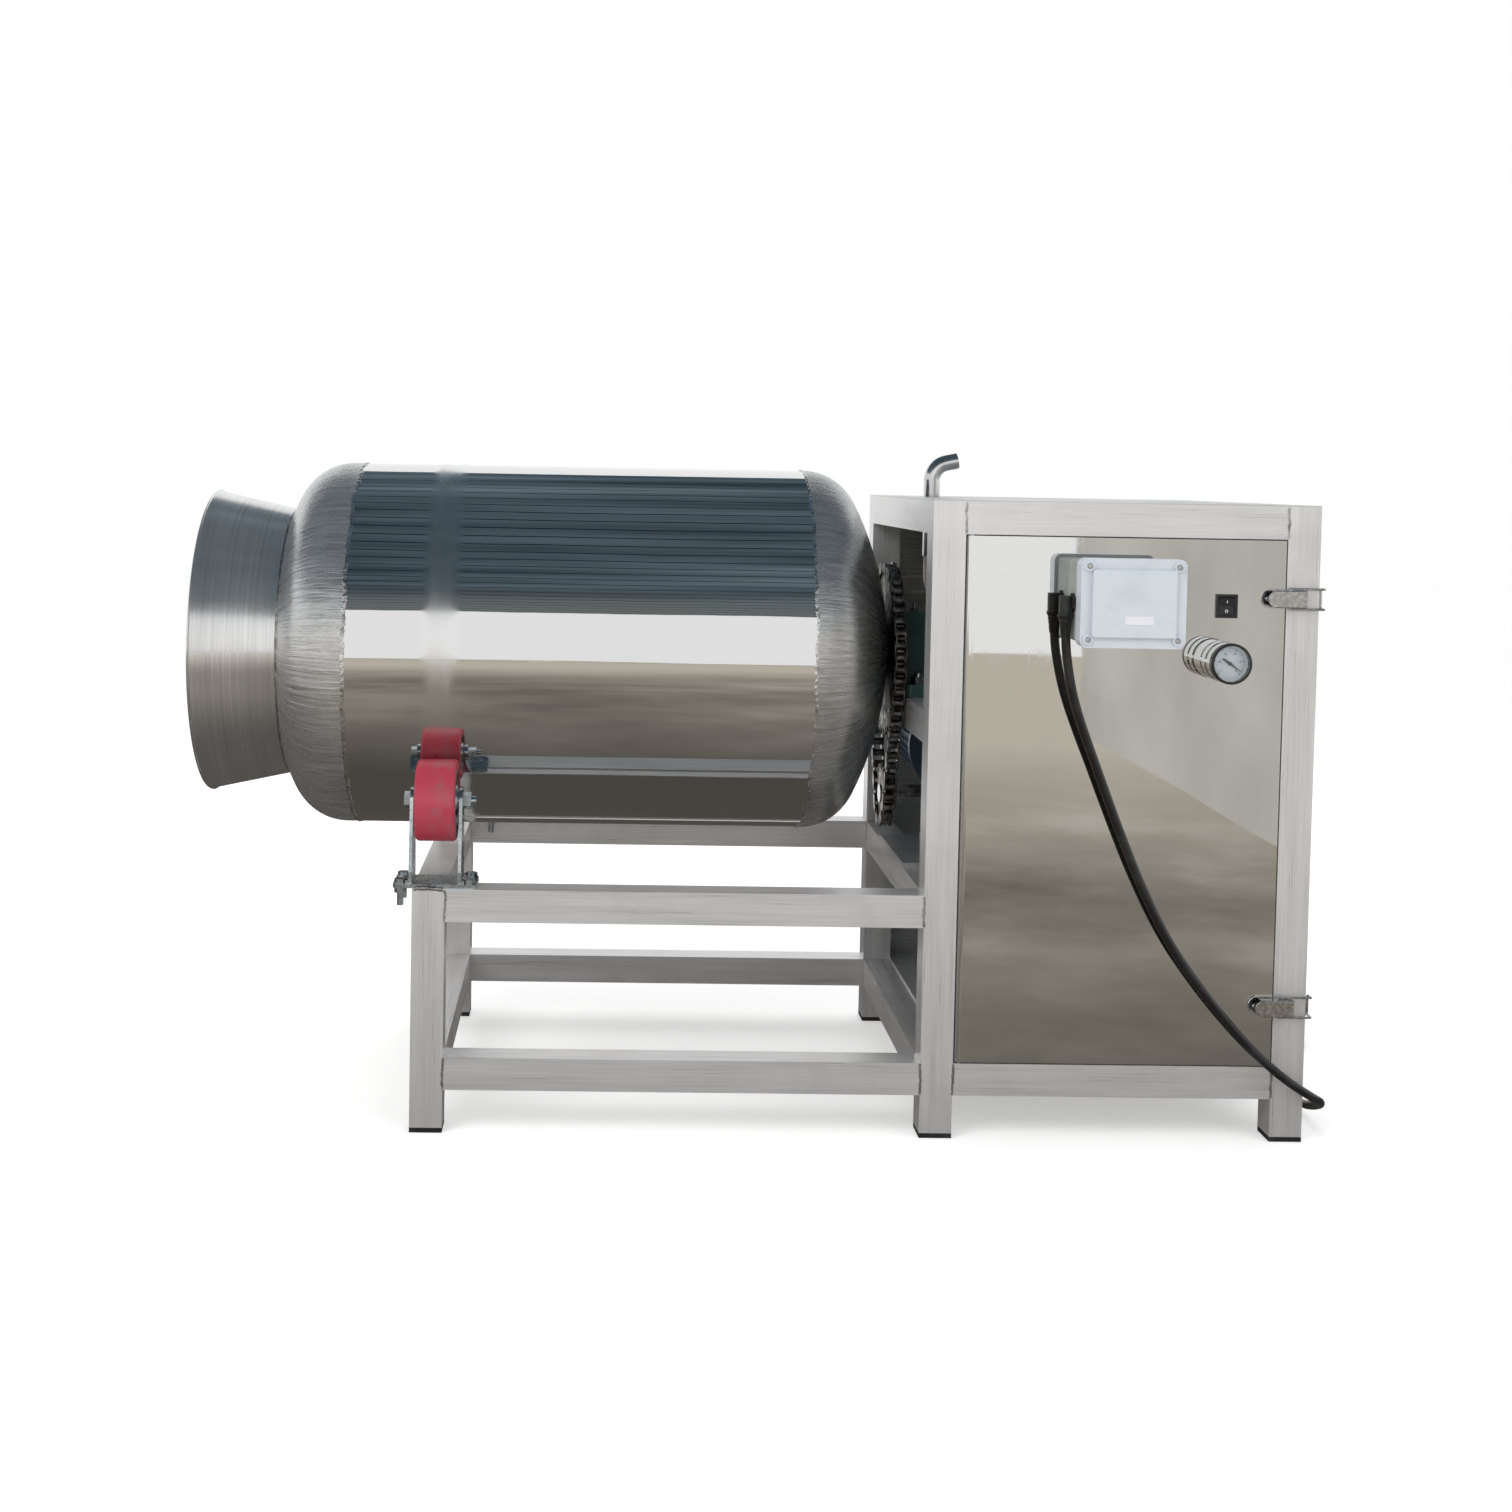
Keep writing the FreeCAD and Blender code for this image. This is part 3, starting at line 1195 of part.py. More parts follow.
def make_latches():
    """Two toggle latches: a base with ears on the door, a channel lever, a wire loop, and a catch."""
    bases, catches = [], []
    ear_half = lever_height / 2 - lever_sheet - 2.6
    ear_top = latch_pin_height + 4
    lever_x = right_leg_x - lever_inset
    pin_x = lever_x + lever_length - 6
    pin_y = front_y - latch_pin_height
    ear_x = door_right - loop_lead
    for name, z in (("upper", upper_latch_height), ("lower", lower_latch_height)):
        left = lever_x - latch_base
        plate = joined(block(left + latch_base, front_y - latch_sheet, z - latch_base, door_right - left - latch_base,
                             latch_sheet, 2 * latch_base),
                       rod(left + latch_base, front_y, z, latch_base, latch_sheet, TO_MINUS_Y))
        ears = []
        for side in (-1, 1):
            ear_z = z + side * ear_half - 0.8
            ears += [block(ear_x, front_y - ear_top, ear_z, pin_x - ear_x, ear_top - 0.6, 1.6),
                     rod(pin_x, pin_y, ear_z, 4, 1.6)]
        foot = block(ear_x, front_y - 3, z - ear_half, loop_lead - 2, 3, 2 * ear_half)
        pin = rod(pin_x, pin_y, z - lever_height / 2 - 0.2, latch_pin, lever_height + 0.4)
        bases.append(joined(plate, *ears, foot, pin))
        top_y = front_y - lever_rise
        cover = rounded(block(lever_x, top_y, z - lever_height / 2, lever_length, lever_rise - 3, lever_height),
                        1.5, runs_along(Vector(1, 0, 0)))
        hollow = block(lever_x - PASS, top_y + lever_sheet, z - lever_height / 2 + lever_sheet,
                       lever_length + 2 * PASS, lever_rise, lever_height - 2 * lever_sheet)
        pin_hole = rod(pin_x, pin_y, z - lever_height, latch_pin + latch_play, 2 * lever_height)
        loop_hole = rod(pin_x - loop_lead, pin_y + 2, z - lever_height, latch_wire + latch_play, 2 * lever_height)
        lip = rod(lever_x + 2, top_y, z, lever_height / 2 - 1, lever_sheet, TO_PLUS_Y)
        made(name + "_latch_lever", cut(joined(cut(cover, hollow), lip), pin_hole, loop_hole))
        made(name + "_latch_loop", shaped(latch_loop(pin_x - loop_lead, pin_y + 2, z)))
        catches.append(block(right_leg_x + tube, front_y + 2, z - catch_height / 2, catch_sheet, catch_width,
                             catch_height))
    group("latch_bases", *bases)
    group("latch_catches", *catches)


def latch_loop(start_x, start_y, z):
    """A bent wire from one side of the lever round the leg's corner and back to the other side."""
    wire = float(latch_wire)
    arm = float(lever_height) / 2 + wire + 0.35
    far = float(right_leg_x + tube + catch_reach) - wire
    back = float(front_y + loop_hook)
    inner = float(lever_height) / 2 - float(lever_sheet)
    points = []
    for side in (-1, 1):
        half = [Vector(start_x, start_y, float(z) + side * inner), Vector(start_x, start_y, float(z) + side * arm),
                Vector(far, start_y, float(z) + side * arm), Vector(far, back, float(z) + side * arm)]
        points += half if side < 0 else half[::-1]
    bend = wire * 1.6
    return swept(points, [1.01 * wire, 4.0, bend, bend, 4.0, 1.01 * wire], wire)


# ---------------------------------------------------------------- mouth lid

def make_lid():
    """A clear cover with a seal, pressed into the cone's throat from outside."""
    slope = (rim_radius - throat_radius) / (cone_length - 2 * rim_lip)
    wall_at_seat = throat_radius - drum_sheet + slope * lid_seat
    wall_at_front = wall_at_seat + slope * lid_plate_thickness
    plate_radius = wall_at_seat - seal_width
    plate = rod(throat_x - lid_seat, axis_y, axis_height, plate_radius, lid_plate_thickness, TO_MINUS_X)
    made("lid_plate", plate)
    made("lid_seal", lathed(throat_x - lid_seat, axis_y, axis_height, TO_MINUS_X, [
        (plate_radius, Size(0)),
        (wall_at_seat - soft_gap, Size(0)),
        (wall_at_front - soft_gap, lid_plate_thickness),
        (plate_radius, lid_plate_thickness),
    ]))
    front_x = float(throat_x - lid_seat - lid_plate_thickness)
    half = float(handle_length) / 2
    reach = float(handle_rise)
    y, z = float(axis_y), float(axis_height)
    points = [Vector(front_x, y - half, z), Vector(front_x - reach, y - half, z),
              Vector(front_x - reach, y + half, z), Vector(front_x, y + half, z)]
    made("lid_handle", shaped(swept(points, [float(handle_bend)] * 2, handle_radius)))


# ---------------------------------------------------------------- power cable

# the hanging run: share of the way from the gland to the right leg's outer edge, distance out from the
# door, and share of the gland's height
HANGING = [
    (0.0, 28, 1.0), (0.0016, 28, 0.9515), (0.0142, 26, 0.9046), (0.0411, 23, 0.8446), (0.0869, 20, 0.7815),
    (0.1438, 17.5, 0.7123), (0.2227, 16, 0.6138), (0.3191, 15, 0.5015), (0.4344, 14.5, 0.3908),
    (0.5498, 14.5, 0.3108), (0.6761, 15.5, 0.2354), (0.8057, 18, 0.1692), (0.9131, 21, 0.1262),
]
# round the leg and along the floor: distances beyond the leg's outer edge and in front of it, and height
ROUND_THE_LEG = [
    (7.5, 15, 60), (31.5, -17, 43), (40, -58, 26), (42, -101, 12.5), (40.5, -155, 5.6), (37, -230, 5.6),
    (35, -315, 5.6), (32, -395, 5.6),
]


def cable_points():
    edge = right_leg_x + tube
    run = [Vector(gland_x + along * (edge - gland_x), front_y - out, height * gland_z)
           for along, out, height in HANGING]
    return run + [Vector(edge + beyond, front_y - out, height) for beyond, out, height in ROUND_THE_LEG]


def make_cable():
    """The free power cable, the coil it ends in, and the plug that lies beside the coil."""
    points = cable_points()
    radii = []
    for index in range(1, len(points) - 1):
        back, ahead = points[index] - points[index - 1], points[index + 1] - points[index]
        turn = back.getAngle(ahead)
        radii.append(0.45 * min(back.Length, ahead.Length) / math.tan(turn / 2))
    print("cable radii:", ", ".join("%.0f" % radius for radius in radii))
    tube_solid = swept(points, radii, cable_radius)
    length = wire_path(points, radii).Length
    print("cable length %.0f mm, volume ratio %.5f"
          % (length, tube_solid.Volume / (math.pi * float(cable_radius) ** 2 * length)))
    made("power_cable", shaped(tube_solid))
    bundle = 2 * cable_radius
    made("cable_coil", lathed(coil_x, coil_y, 0, UPRIGHT, [
        (coil_radius - bundle, Size(4)),
        (coil_radius - bundle + 4, Size(0)),
        (coil_radius + bundle - 4, Size(0)),
        (coil_radius + bundle, Size(4)),
        (coil_radius + bundle, 2 * bundle - 4),
        (coil_radius + bundle - 4, 2 * bundle),
        (coil_radius - bundle + 4, 2 * bundle),
        (coil_radius - bundle, 2 * bundle - 4),
    ]))
    plug_x, plug_start_y = coil_x - coil_radius, coil_y + plug_setback
    relief = cone(plug_x, plug_start_y, 12, cable_radius + 1, cable_radius + 3, 30, TO_PLUS_Y)
    shell = rounded(block(plug_x - 17, plug_start_y + 30, 0.2, 34, 42, 25), 7, runs_along(Vector(0, 1, 0)))
    pins = [rod(plug_x + dx, plug_start_y + 72, z, 2.4, 18, TO_PLUS_Y) for dx, z in ((-9.5, 9), (9.5, 9), (0, 18))]
    made("plug", joined(relief, shell, *pins))


def main():
    make_legs()
    make_feet()
    make_rails()
    make_cross_rails()
    make_panels()
    make_exhaust()
    make_drum()
    make_shaft()
    make_pillow_block()
    bolts = make_casters()
    make_sprockets()
    make_chain()
    make_gear_motor()
    pins = make_door()
    group("door_pivots", *pins)
    make_box()
    make_fittings()
    make_switch()
    make_gauge()
    make_latches()
    make_lid()
    group("frame_bolts", *bolts, *block_fasteners())
    make_cable()
    finish()


def finish():
    doc.recompute()
    for item in doc.Objects:
        if "Invalid" in item.State or "Error" in item.State:
            raise RuntimeError("%s (%s) failed" % (item.Label, item.Name))
    for item in nodes:
        if item.Shape.isNull() or not item.Shape.isValid():
            raise RuntimeError("%s has no valid shape" % item.Label)
    os.makedirs("parts", exist_ok=True)
    for item in nodes:
        item.Shape.exportStep("parts/%s.step" % item.Label)
        print("%-20s %2d solids, %.0f cm3" % (item.Label, len(item.Shape.Solids), item.Shape.Volume / 1000))


main()
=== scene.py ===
"""Meat vacuum tumbler: finishes and fine detail round the fixed frame, laid out as an add-on.

A horizontal stainless drum with a cone mouth turns on two polyurethane casters and a rear bearing,
beside a square-tube cabinet that holds the drive, the vacuum pump and the controls.
"""
import math
import random

import bpy
from mathutils import Matrix, Vector


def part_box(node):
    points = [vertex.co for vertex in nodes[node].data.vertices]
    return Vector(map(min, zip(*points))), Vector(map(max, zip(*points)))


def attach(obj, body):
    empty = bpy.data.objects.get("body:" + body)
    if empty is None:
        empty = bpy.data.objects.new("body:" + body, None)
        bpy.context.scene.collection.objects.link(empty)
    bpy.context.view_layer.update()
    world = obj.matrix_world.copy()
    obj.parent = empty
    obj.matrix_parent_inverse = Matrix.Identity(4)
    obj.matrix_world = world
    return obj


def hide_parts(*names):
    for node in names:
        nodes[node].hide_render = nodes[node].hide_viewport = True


bl_info = {
    "name": "Meat Vacuum Tumbler",
    "version": (1, 0, 0),
    "blender": (4, 5, 0),
    "location": "View3D > Sidebar > Tumbler",
    "description": "Dresses the tumbler's frame with its finishes, welds, cord and fittings",
    "category": "Object",
}

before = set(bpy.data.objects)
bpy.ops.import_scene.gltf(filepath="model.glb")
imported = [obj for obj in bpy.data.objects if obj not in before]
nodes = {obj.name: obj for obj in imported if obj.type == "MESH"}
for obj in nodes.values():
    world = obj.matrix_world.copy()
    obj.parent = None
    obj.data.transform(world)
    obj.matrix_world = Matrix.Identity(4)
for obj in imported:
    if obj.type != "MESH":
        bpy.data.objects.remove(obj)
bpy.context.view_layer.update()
MM = 0.001
X, Y, Z = Vector((1, 0, 0)), Vector((0, 1, 0)), Vector((0, 0, 1))


CAMERA = {
    "place": (-0.1895, -2.4752, 0.8062),
    "focal": 1857.6,  # in widths of the frame's 1512 columns
    "shift": (0.082, -0.1316),
    "pitch": 0.0437,
    "yaw": 0.019,
    "roll": 0.01749,
}


# ---------------- places taken from the frame

def middle(node):
    low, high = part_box(node)
    return (low + high) / 2


shell_low, shell_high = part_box("drum_shell")
drum_axis = middle("drum_shell")
drum_radius = (shell_high.z - shell_low.z) / 2
THROAT_RADIUS = 176.5 * MM
door_low, door_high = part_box("door_panel")
face_y = door_low.y


# ---------------- finishes

class NodeTree:
    """Short ways to add nodes to a tree."""

    def __init__(self, tree):
        self.tree = tree

    def node(self, kind, inputs=(), **settings):
        made = self.tree.nodes.new("ShaderNode" + kind)
        for name, value in settings.items():
            setattr(made, name, value)
        for key, value in dict(inputs).items():
            if isinstance(value, bpy.types.NodeSocket):
                self.tree.links.new(value, made.inputs[key])
            else:
                made.inputs[key].default_value = value
        return made

    def place(self, scale=(1, 1, 1), shift=(0, 0, 0)):
        """Row-frame coordinates in metres, scaled."""
        at = self.node("TexCoord").outputs["Object"]
        return self.node("Mapping", {"Vector": at, "Scale": scale, "Location": shift}).outputs[0]

    def polar(self, centre, around, along, outward):
        """Coordinates round an axis along X: distance round, along and outwards, each scaled."""
        at = self.node("TexCoord").outputs["Object"]
        part = self.node("SeparateXYZ", {0: at}).outputs
        y = self.maths("SUBTRACT", part[1], centre.y)
        z = self.maths("SUBTRACT", part[2], centre.z)
        turn = self.maths("ARCTAN2", z, y)
        reach = self.maths("SQRT", self.maths("ADD", self.maths("MULTIPLY", y, y), self.maths("MULTIPLY", z, z)))
        return self.node("CombineXYZ", {
            0: self.maths("MULTIPLY", turn, around),
            1: self.maths("MULTIPLY", part[0], along),
            2: self.maths("MULTIPLY", reach, outward),
        }).outputs[0]

    def noise(self, at, scale=1.0, detail=3.0, roughness=0.55, distortion=0.0):
        return self.node("TexNoise", {"Vector": at, "Scale": scale, "Detail": detail, "Roughness": roughness,
                                      "Distortion": distortion}).outputs["Fac"]

    def grain(self, scale, **settings):
        """Noise as fine along every axis."""
        return self.noise(self.place((scale,) * 3), **settings)

    def maths(self, operation, first, second=0.0, clamp=False):
        return self.node("Math", {0: first, 1: second}, operation=operation, use_clamp=clamp).outputs[0]

    def band(self, value, low, high, to_low=0.0, to_high=1.0):
        """Maps low..high to to_low..to_high, held at both ends."""
        made = self.node("MapRange", {"Value": value, "From Min": low, "From Max": high,
                                      "To Min": to_low, "To Max": to_high})
        return made.outputs["Result"]

    def ramp(self, value, *stops):
        """Colours at places along a value."""
        made = self.node("ValToRGB", {"Fac": value})
        ends = made.color_ramp.elements
        while len(ends) < len(stops):
            ends.new(0.5)
        for end, (place, colour) in zip(ends, stops):
            end.position, end.color = place, (*colour, 1)
        return made.outputs["Color"]

    def mix(self, factor, first, second):
        made = self.node("Mix", data_type="RGBA")
        for name, value in ((0, factor), (6, first), (7, second)):
            if isinstance(value, bpy.types.NodeSocket):
                self.tree.links.new(value, made.inputs[name])
            else:
                made.inputs[name].default_value = value if name == 0 else (*value, 1)
        return made.outputs[2]


class Finish(NodeTree):
    """A material being made: its tree and its shader."""

    def __init__(self, name, colour, roughness, **sockets):
        self.material = bpy.data.materials.new(name)
        self.material.use_nodes = True
        super().__init__(self.material.node_tree)
        self.shader = next(n for n in self.tree.nodes if n.type == "BSDF_PRINCIPLED")
        self.set(Base_Color=(*colour, 1), Roughness=roughness, **sockets)

    def set(self, **sockets):
        for name, value in sockets.items():
            socket = self.shader.inputs[name.replace("_", " ")]
            if isinstance(value, bpy.types.NodeSocket):
                self.tree.links.new(value, socket)
            else:
                socket.default_value = value
        return self

    def bump(self, *heights, strength=1.0):
        """Heights in metres, each pushed onto the one before."""
        normal = None
        for height, distance in heights:
            inputs = {"Height": height, "Distance": distance, "Strength": strength}
            if normal is not None:
                inputs["Normal"] = normal
            normal = self.node("Bump", inputs).outputs["Normal"]
        return self.set(Normal=normal)


def placed(name, data):
    """A new object in the scene."""
    made = bpy.data.objects.new(name, data)
    bpy.context.scene.collection.objects.link(made)
    return made


def dress(finish, *names):
    """Gives CAD nodes a finish in place of their plain one."""
    material = finish.material if isinstance(finish, Finish) else finish
    for name in names:
        data = nodes[name].data
        data.materials.clear()
        data.materials.append(material)


# ---------------- making pieces

def piece(name, vertices, faces, body, finish, smooth=True):
    """A new mesh piece in the row frame that rides on a body."""
    data = bpy.data.meshes.new(name)
    data.from_pydata([tuple(v) for v in vertices], [], faces)
    data.validate()
    data.materials.append(finish.material)
    made = placed(name, data)
    if smooth:
        data.shade_smooth()
        data.set_sharp_from_angle(angle=math.radians(38))
    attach(made, body)
    return made


class Shape:
    """Vertices and faces gathered from several simple forms, all closed."""

    def __init__(self):
        self.vertices, self.faces = [], []

    def rings(self, rings, closed=False, caps=True):
        """Joins rings of as many points each; closed joins the last ring to the first."""
        start, count = len(self.vertices), len(rings[0])
        for ring in rings:
            self.vertices += ring
        last = len(rings) if closed else len(rings) - 1
        for k in range(last):
            a, b = start + k * count, start + (k + 1) % len(rings) * count
            for j in range(count):
                n = (j + 1) % count
                self.faces.append((a + j, a + n, b + n, b + j))
        if caps and not closed:
            self.faces.append(tuple(reversed(range(start, start + count))))
            end = start + (len(rings) - 1) * count
            self.faces.append(tuple(range(end, end + count)))
        return self

    def turned(self, at, axis, profile, sides=24, start=0.0):
        """A form turned about an axis; profile is (radius, distance along), both ends capped."""
        axis = Vector(axis).normalized()
        side = axis.orthogonal().normalized()
        up = axis.cross(side)
        rings = []
        for radius, along in profile:
            rings.append([Vector(at) + axis * along + (side * math.cos(a) + up * math.sin(a)) * radius
                          for a in (start + math.tau * k / sides for k in range(sides))])
        return self.rings(rings)

    def bar(self, points, radius, sides=10):
        """A round bar along points, its section kept square to the path."""
        rings = []
        side = None
        for k, point in enumerate(points):
            ahead = (points[min(k + 1, len(points) - 1)] - points[max(k - 1, 0)]).normalized()
            side = ahead.orthogonal().normalized() if side is None else (side - ahead * side.dot(ahead)).normalized()
            up = ahead.cross(side)
            r = radius(k / (len(points) - 1)) if callable(radius) else radius
            rings.append([point + (side * math.cos(a) + up * math.sin(a)) * r
                          for a in (math.tau * j / sides for j in range(sides))])
        return self.rings(rings)

    def slab(self, low, high):
        """A plain block, for small flat parts that another form rounds off."""
        x0, y0, z0 = low
        x1, y1, z1 = high
        return self.rings([[Vector(p) for p in ((x0, y0, z), (x1, y0, z), (x1, y1, z), (x0, y1, z))]
                           for z in (z0, z1)])

    def made(self, name, body, finish, slot, bevel=0.0, smooth=True):
        found = piece(name, self.vertices, self.faces, body, finish, smooth)
        if bevel:
            softened = found.modifiers.new("Edges", "BEVEL")
            softened.width, softened.segments, softened.limit_method = bevel, 2, "ANGLE"
        return found


def weld_line(shape, points, normals, width, height, chance, step=2.2 * MM):
    """A bead of overlapping drops along points on a surface, uneven in width and height."""
    spots, sides = [], []
    for k in range(len(points) - 1):
        start, end = points[k], points[k + 1]
        count = max(1, round((end - start).length / step))
        for j in range(count + (k == len(points) - 2)):
            spots.append(start.lerp(end, j / count))
            sides.append(normals[k].lerp(normals[k + 1], j / count).normalized())
    closed = (points[0] - points[-1]).length < 1e-6
    if closed:
        spots.pop()
        sides.pop()
    rings = []
    drift = 0.0
    for k, spot in enumerate(spots):
        ahead = (spots[(k + 1) % len(spots)] - spot) if k < len(spots) - 1 or closed else spot - spots[k - 1]
        across = ahead.normalized().cross(sides[k])
        drift = 0.8 * drift + chance.uniform(-0.16, 0.16) * width
        half = width * (0.5 + chance.uniform(-0.12, 0.16))
        rise = height * (0.75 + 0.35 * math.sin(k * 1.9) + chance.uniform(-0.15, 0.15))
        rings.append([spot + across * (drift + half * u) + sides[k] * (rise * v)
                      for u, v in ((-1, -0.25), (-0.62, 0.62), (0, 1.0), (0.62, 0.62), (1, -0.25))])
    return shape.rings(rings, closed=closed)


# ---------------- settings a user may change

def length(name, description, default):
    return bpy.props.FloatProperty(name=name, description=description, default=default, unit="LENGTH",
                                   subtype="DISTANCE", precision=4)


def tone(name, description, default):
    return bpy.props.FloatVectorProperty(name=name, description=description, default=default, size=3,
                                         subtype="COLOR", min=0.0, max=1.0)


class TumblerSizes(bpy.types.PropertyGroup):
    """Sizes of the fine detail; the frame's own sizes are fixed."""

    seam_width: length("Head weld width", "Mean width of the welds that join the heads to the shell", 5.2 * MM)
    seam_height: length("Head weld height", "How far the head welds stand proud", 1.1 * MM)
    joint_width: length("Tube weld width", "Width of the dressed welds where tubes meet", 3.4 * MM)
    cable_diameter: length("Cable diameter", "Outer diameter of the power cable", 11 * MM)
    tread_band: length("Track width", "Width of the dulled track that the casters leave on the drum", 54 * MM)
    label_width: length("Label width", "Width of the blank label on the control box", 34 * MM)


class TumblerColours(bpy.types.PropertyGroup):
    """Colours of the parts that aren't bare steel."""

    tread: tone("Caster tread", "Polyurethane tread of the casters", (0.46, 0.045, 0.075))
    box_lid: tone("Box lid", "Lid of the control box", (0.62, 0.67, 0.72))
    box_base: tone("Box base", "Base of the control box", (0.40, 0.44, 0.42))
    motor: tone("Motor", "Paint of the motor and the vacuum pump", (0.055, 0.11, 0.19))
    block: tone("Bearing block", "Paint of the pillow block", (0.045, 0.12, 0.105))


# ---------------- metal finishes

def brushed_tube(name, axis, tone=0.77):
    """Square tube, linished along its length, with a few cloudy marks from handling."""
    f = Finish(name, (tone, tone, tone * 0.99), 0.3, Metallic=0.62)
    fine = [620.0, 620.0, 620.0]
    broad = [55.0, 55.0, 55.0]
    fine["xyz".index(axis)] = 7.0
    broad["xyz".index(axis)] = 3.5
    lines = f.noise(f.place(fine), detail=2.0)
    bands = f.noise(f.place(broad), detail=3.0)
    cloud = f.grain(9, detail=4.0, roughness=0.6)
    shade = f.maths("ADD", f.maths("MULTIPLY", lines, 0.5), f.maths("MULTIPLY", bands, 0.5))
    colour = f.ramp(shade, (0.3, (tone * 0.84, tone * 0.84, tone * 0.86)), (0.5, (tone, tone * 0.99, tone * 0.99)),
                    (0.72, (tone * 1.14, tone * 1.13, tone * 1.12)))
    f.set(Base_Color=f.mix(f.band(cloud, 0.52, 0.78, 0.0, 0.4), colour, (tone * 0.72, tone * 0.7, tone * 0.67)),
          Roughness=f.band(shade, 0.3, 0.7, 0.24, 0.42))
    return f.bump((lines, 0.00008), (cloud, 0.0004))


def satin_sheet(name, tone=0.64, roughness=0.32):
    f = Finish(name, (tone, tone, tone), roughness, Metallic=0.65)
    lines = f.noise(f.place((6.0, 480.0, 480.0)), detail=2.0)
    cloud = f.grain(7, detail=3.0)
    f.set(Base_Color=f.ramp(lines, (0.3, (tone * 0.85,) * 3), (0.7, (tone * 1.12,) * 3)),
          Roughness=f.band(cloud, 0.3, 0.7, roughness - 0.07, roughness + 0.09))
    return f.bump((lines, 0.00006), (cloud, 0.0006))


def polished_sheet(name, tone=(0.74, 0.74, 0.73), waviness=0.0010):
    """Mirror-polished sheet: slight waves, faint scratches and finger marks."""
    f = Finish(name, tone, 0.02, Metallic=1.0)
    waves = f.grain(3.2, detail=1.0)
    marks = f.grain(14, detail=5.0, roughness=0.65)
    scratch = f.noise(f.place((300, 900, 12)), detail=2.0)
    f.set(Roughness=f.maths("ADD", f.band(marks, 0.55, 0.85, 0.015, 0.12), f.band(scratch, 0.62, 0.85, 0.0, 0.06)))
    return f.bump((waves, waviness))


def polished_shell():
    """The drum's shell: a mirror with fine turning marks and a dulled track where the casters run."""
    sizes = bpy.context.scene.tumbler_sizes
    f = Finish("polished_shell", (0.73, 0.735, 0.73), 0.03, Metallic=1.0)
    at = f.node("TexCoord").outputs["Object"]
    x = f.node("SeparateXYZ", {0: at}).outputs[0]
    track_x = middle("front_tyre").x
    off = f.maths("ABSOLUTE", f.maths("SUBTRACT", x, track_x))
    rings = f.noise(f.polar(drum_axis, 0.6, 900.0, 0.0), detail=2.0)
    patches = f.noise(f.polar(drum_axis, 2.2, 26.0, 0.0), detail=3.0)
    ragged = f.maths("ADD", off, f.maths("MULTIPLY", f.maths("SUBTRACT", rings, 0.5), 0.012))
    track = f.band(ragged, sizes.tread_band / 2, sizes.tread_band * 0.22, 0.0, 1.0)
    worn = f.maths("MULTIPLY", track, f.band(patches, 0.25, 0.7, 0.35, 1.0))
    f.set(Base_Color=f.mix(worn, (0.73, 0.735, 0.73), (0.80, 0.80, 0.80)),
          Roughness=f.maths("ADD", f.band(worn, 0.0, 1.0, 0.022, 0.30), f.band(rings, 0.6, 0.8, 0.0, 0.03)))
    waves = f.noise(f.polar(drum_axis, 1.1, 2.4, 0.0), detail=1.0)
    dents = f.noise(f.polar(drum_axis, 3.0, 11.0, 0.0), detail=2.0)
    return f.bump((waves, 0.0011), (dents, 0.00012), (rings, 0.000012))


def hand_finished(name, tone=0.62):
    """Dished head: satin steel with short grinding marks from the seam inwards."""
    f = Finish(name, (tone,) * 3, 0.3, Metallic=0.88)
    marks = f.noise(f.polar(drum_axis, 46.0, 9.0, 9.0), detail=4.0, roughness=0.7, distortion=0.6)
    fine = f.noise(f.polar(drum_axis, 210.0, 24.0, 24.0), detail=3.0)
    cloud = f.grain(11, detail=3.0)
    both = f.maths("ADD", f.maths("MULTIPLY", marks, 0.6), f.maths("MULTIPLY", fine, 0.4))
    f.set(Base_Color=f.ramp(both, (0.32, (tone * 0.72,) * 3), (0.5, (tone,) * 3), (0.68, (tone * 1.3,) * 3)),
          Roughness=f.band(both, 0.3, 0.7, 0.18, 0.36))
    return f.bump((marks, 0.0008), (cloud, 0.0022), (fine, 0.00014))


def spun_cone(name, tone=0.72):
    """Cone brushed round its axis."""
    f = Finish(name, (tone,) * 3, 0.22, Metallic=0.93)
    rings = f.noise(f.polar(drum_axis, 0.5, 520.0, 520.0), detail=2.0)
    broad = f.noise(f.polar(drum_axis, 0.9, 40.0, 40.0), detail=2.0)
    marks = f.grain(13, detail=4.0)
    shade = f.maths("ADD", f.maths("MULTIPLY", rings, 0.6), f.maths("MULTIPLY", broad, 0.4))
    f.set(Base_Color=f.ramp(shade, (0.3, (tone * 0.84,) * 3), (0.7, (tone * 1.16,) * 3)),
          Roughness=f.band(marks, 0.35, 0.75, 0.17, 0.27))
    return f.bump((rings, 0.00007), (marks, 0.0003))


def bright_weld(name, tone=0.78, roughness=0.3):
    """Weld metal: bright crests, dull hollows."""
    f = Finish(name, (tone,) * 3, roughness, Metallic=1.0)
    grain = f.grain(420, detail=3.0)
    patch = f.grain(60, detail=2.0)
    f.set(Base_Color=f.ramp(patch, (0.35, (tone * 0.55, tone * 0.53, tone * 0.5)), (0.62, (tone,) * 3)),
          Roughness=f.band(grain, 0.3, 0.7, roughness - 0.12, roughness + 0.15))
    return f.bump((grain, 0.0006))


def zinc_plate(name):
    """Bright zinc with a bluish passivated sheen and dull spots."""
    f = Finish(name, (0.52, 0.58, 0.62), 0.25, Metallic=1.0)
    patch = f.grain(34, detail=4.0, roughness=0.65)
    spangle = f.grain(240, detail=2.0)
    f.set(Base_Color=f.ramp(patch, (0.3, (0.36, 0.42, 0.45)), (0.52, (0.56, 0.62, 0.66)), (0.7, (0.74, 0.77, 0.78))),
          Roughness=f.band(spangle, 0.3, 0.7, 0.16, 0.36))
    return f.bump((patch, 0.0004), (spangle, 0.00008))


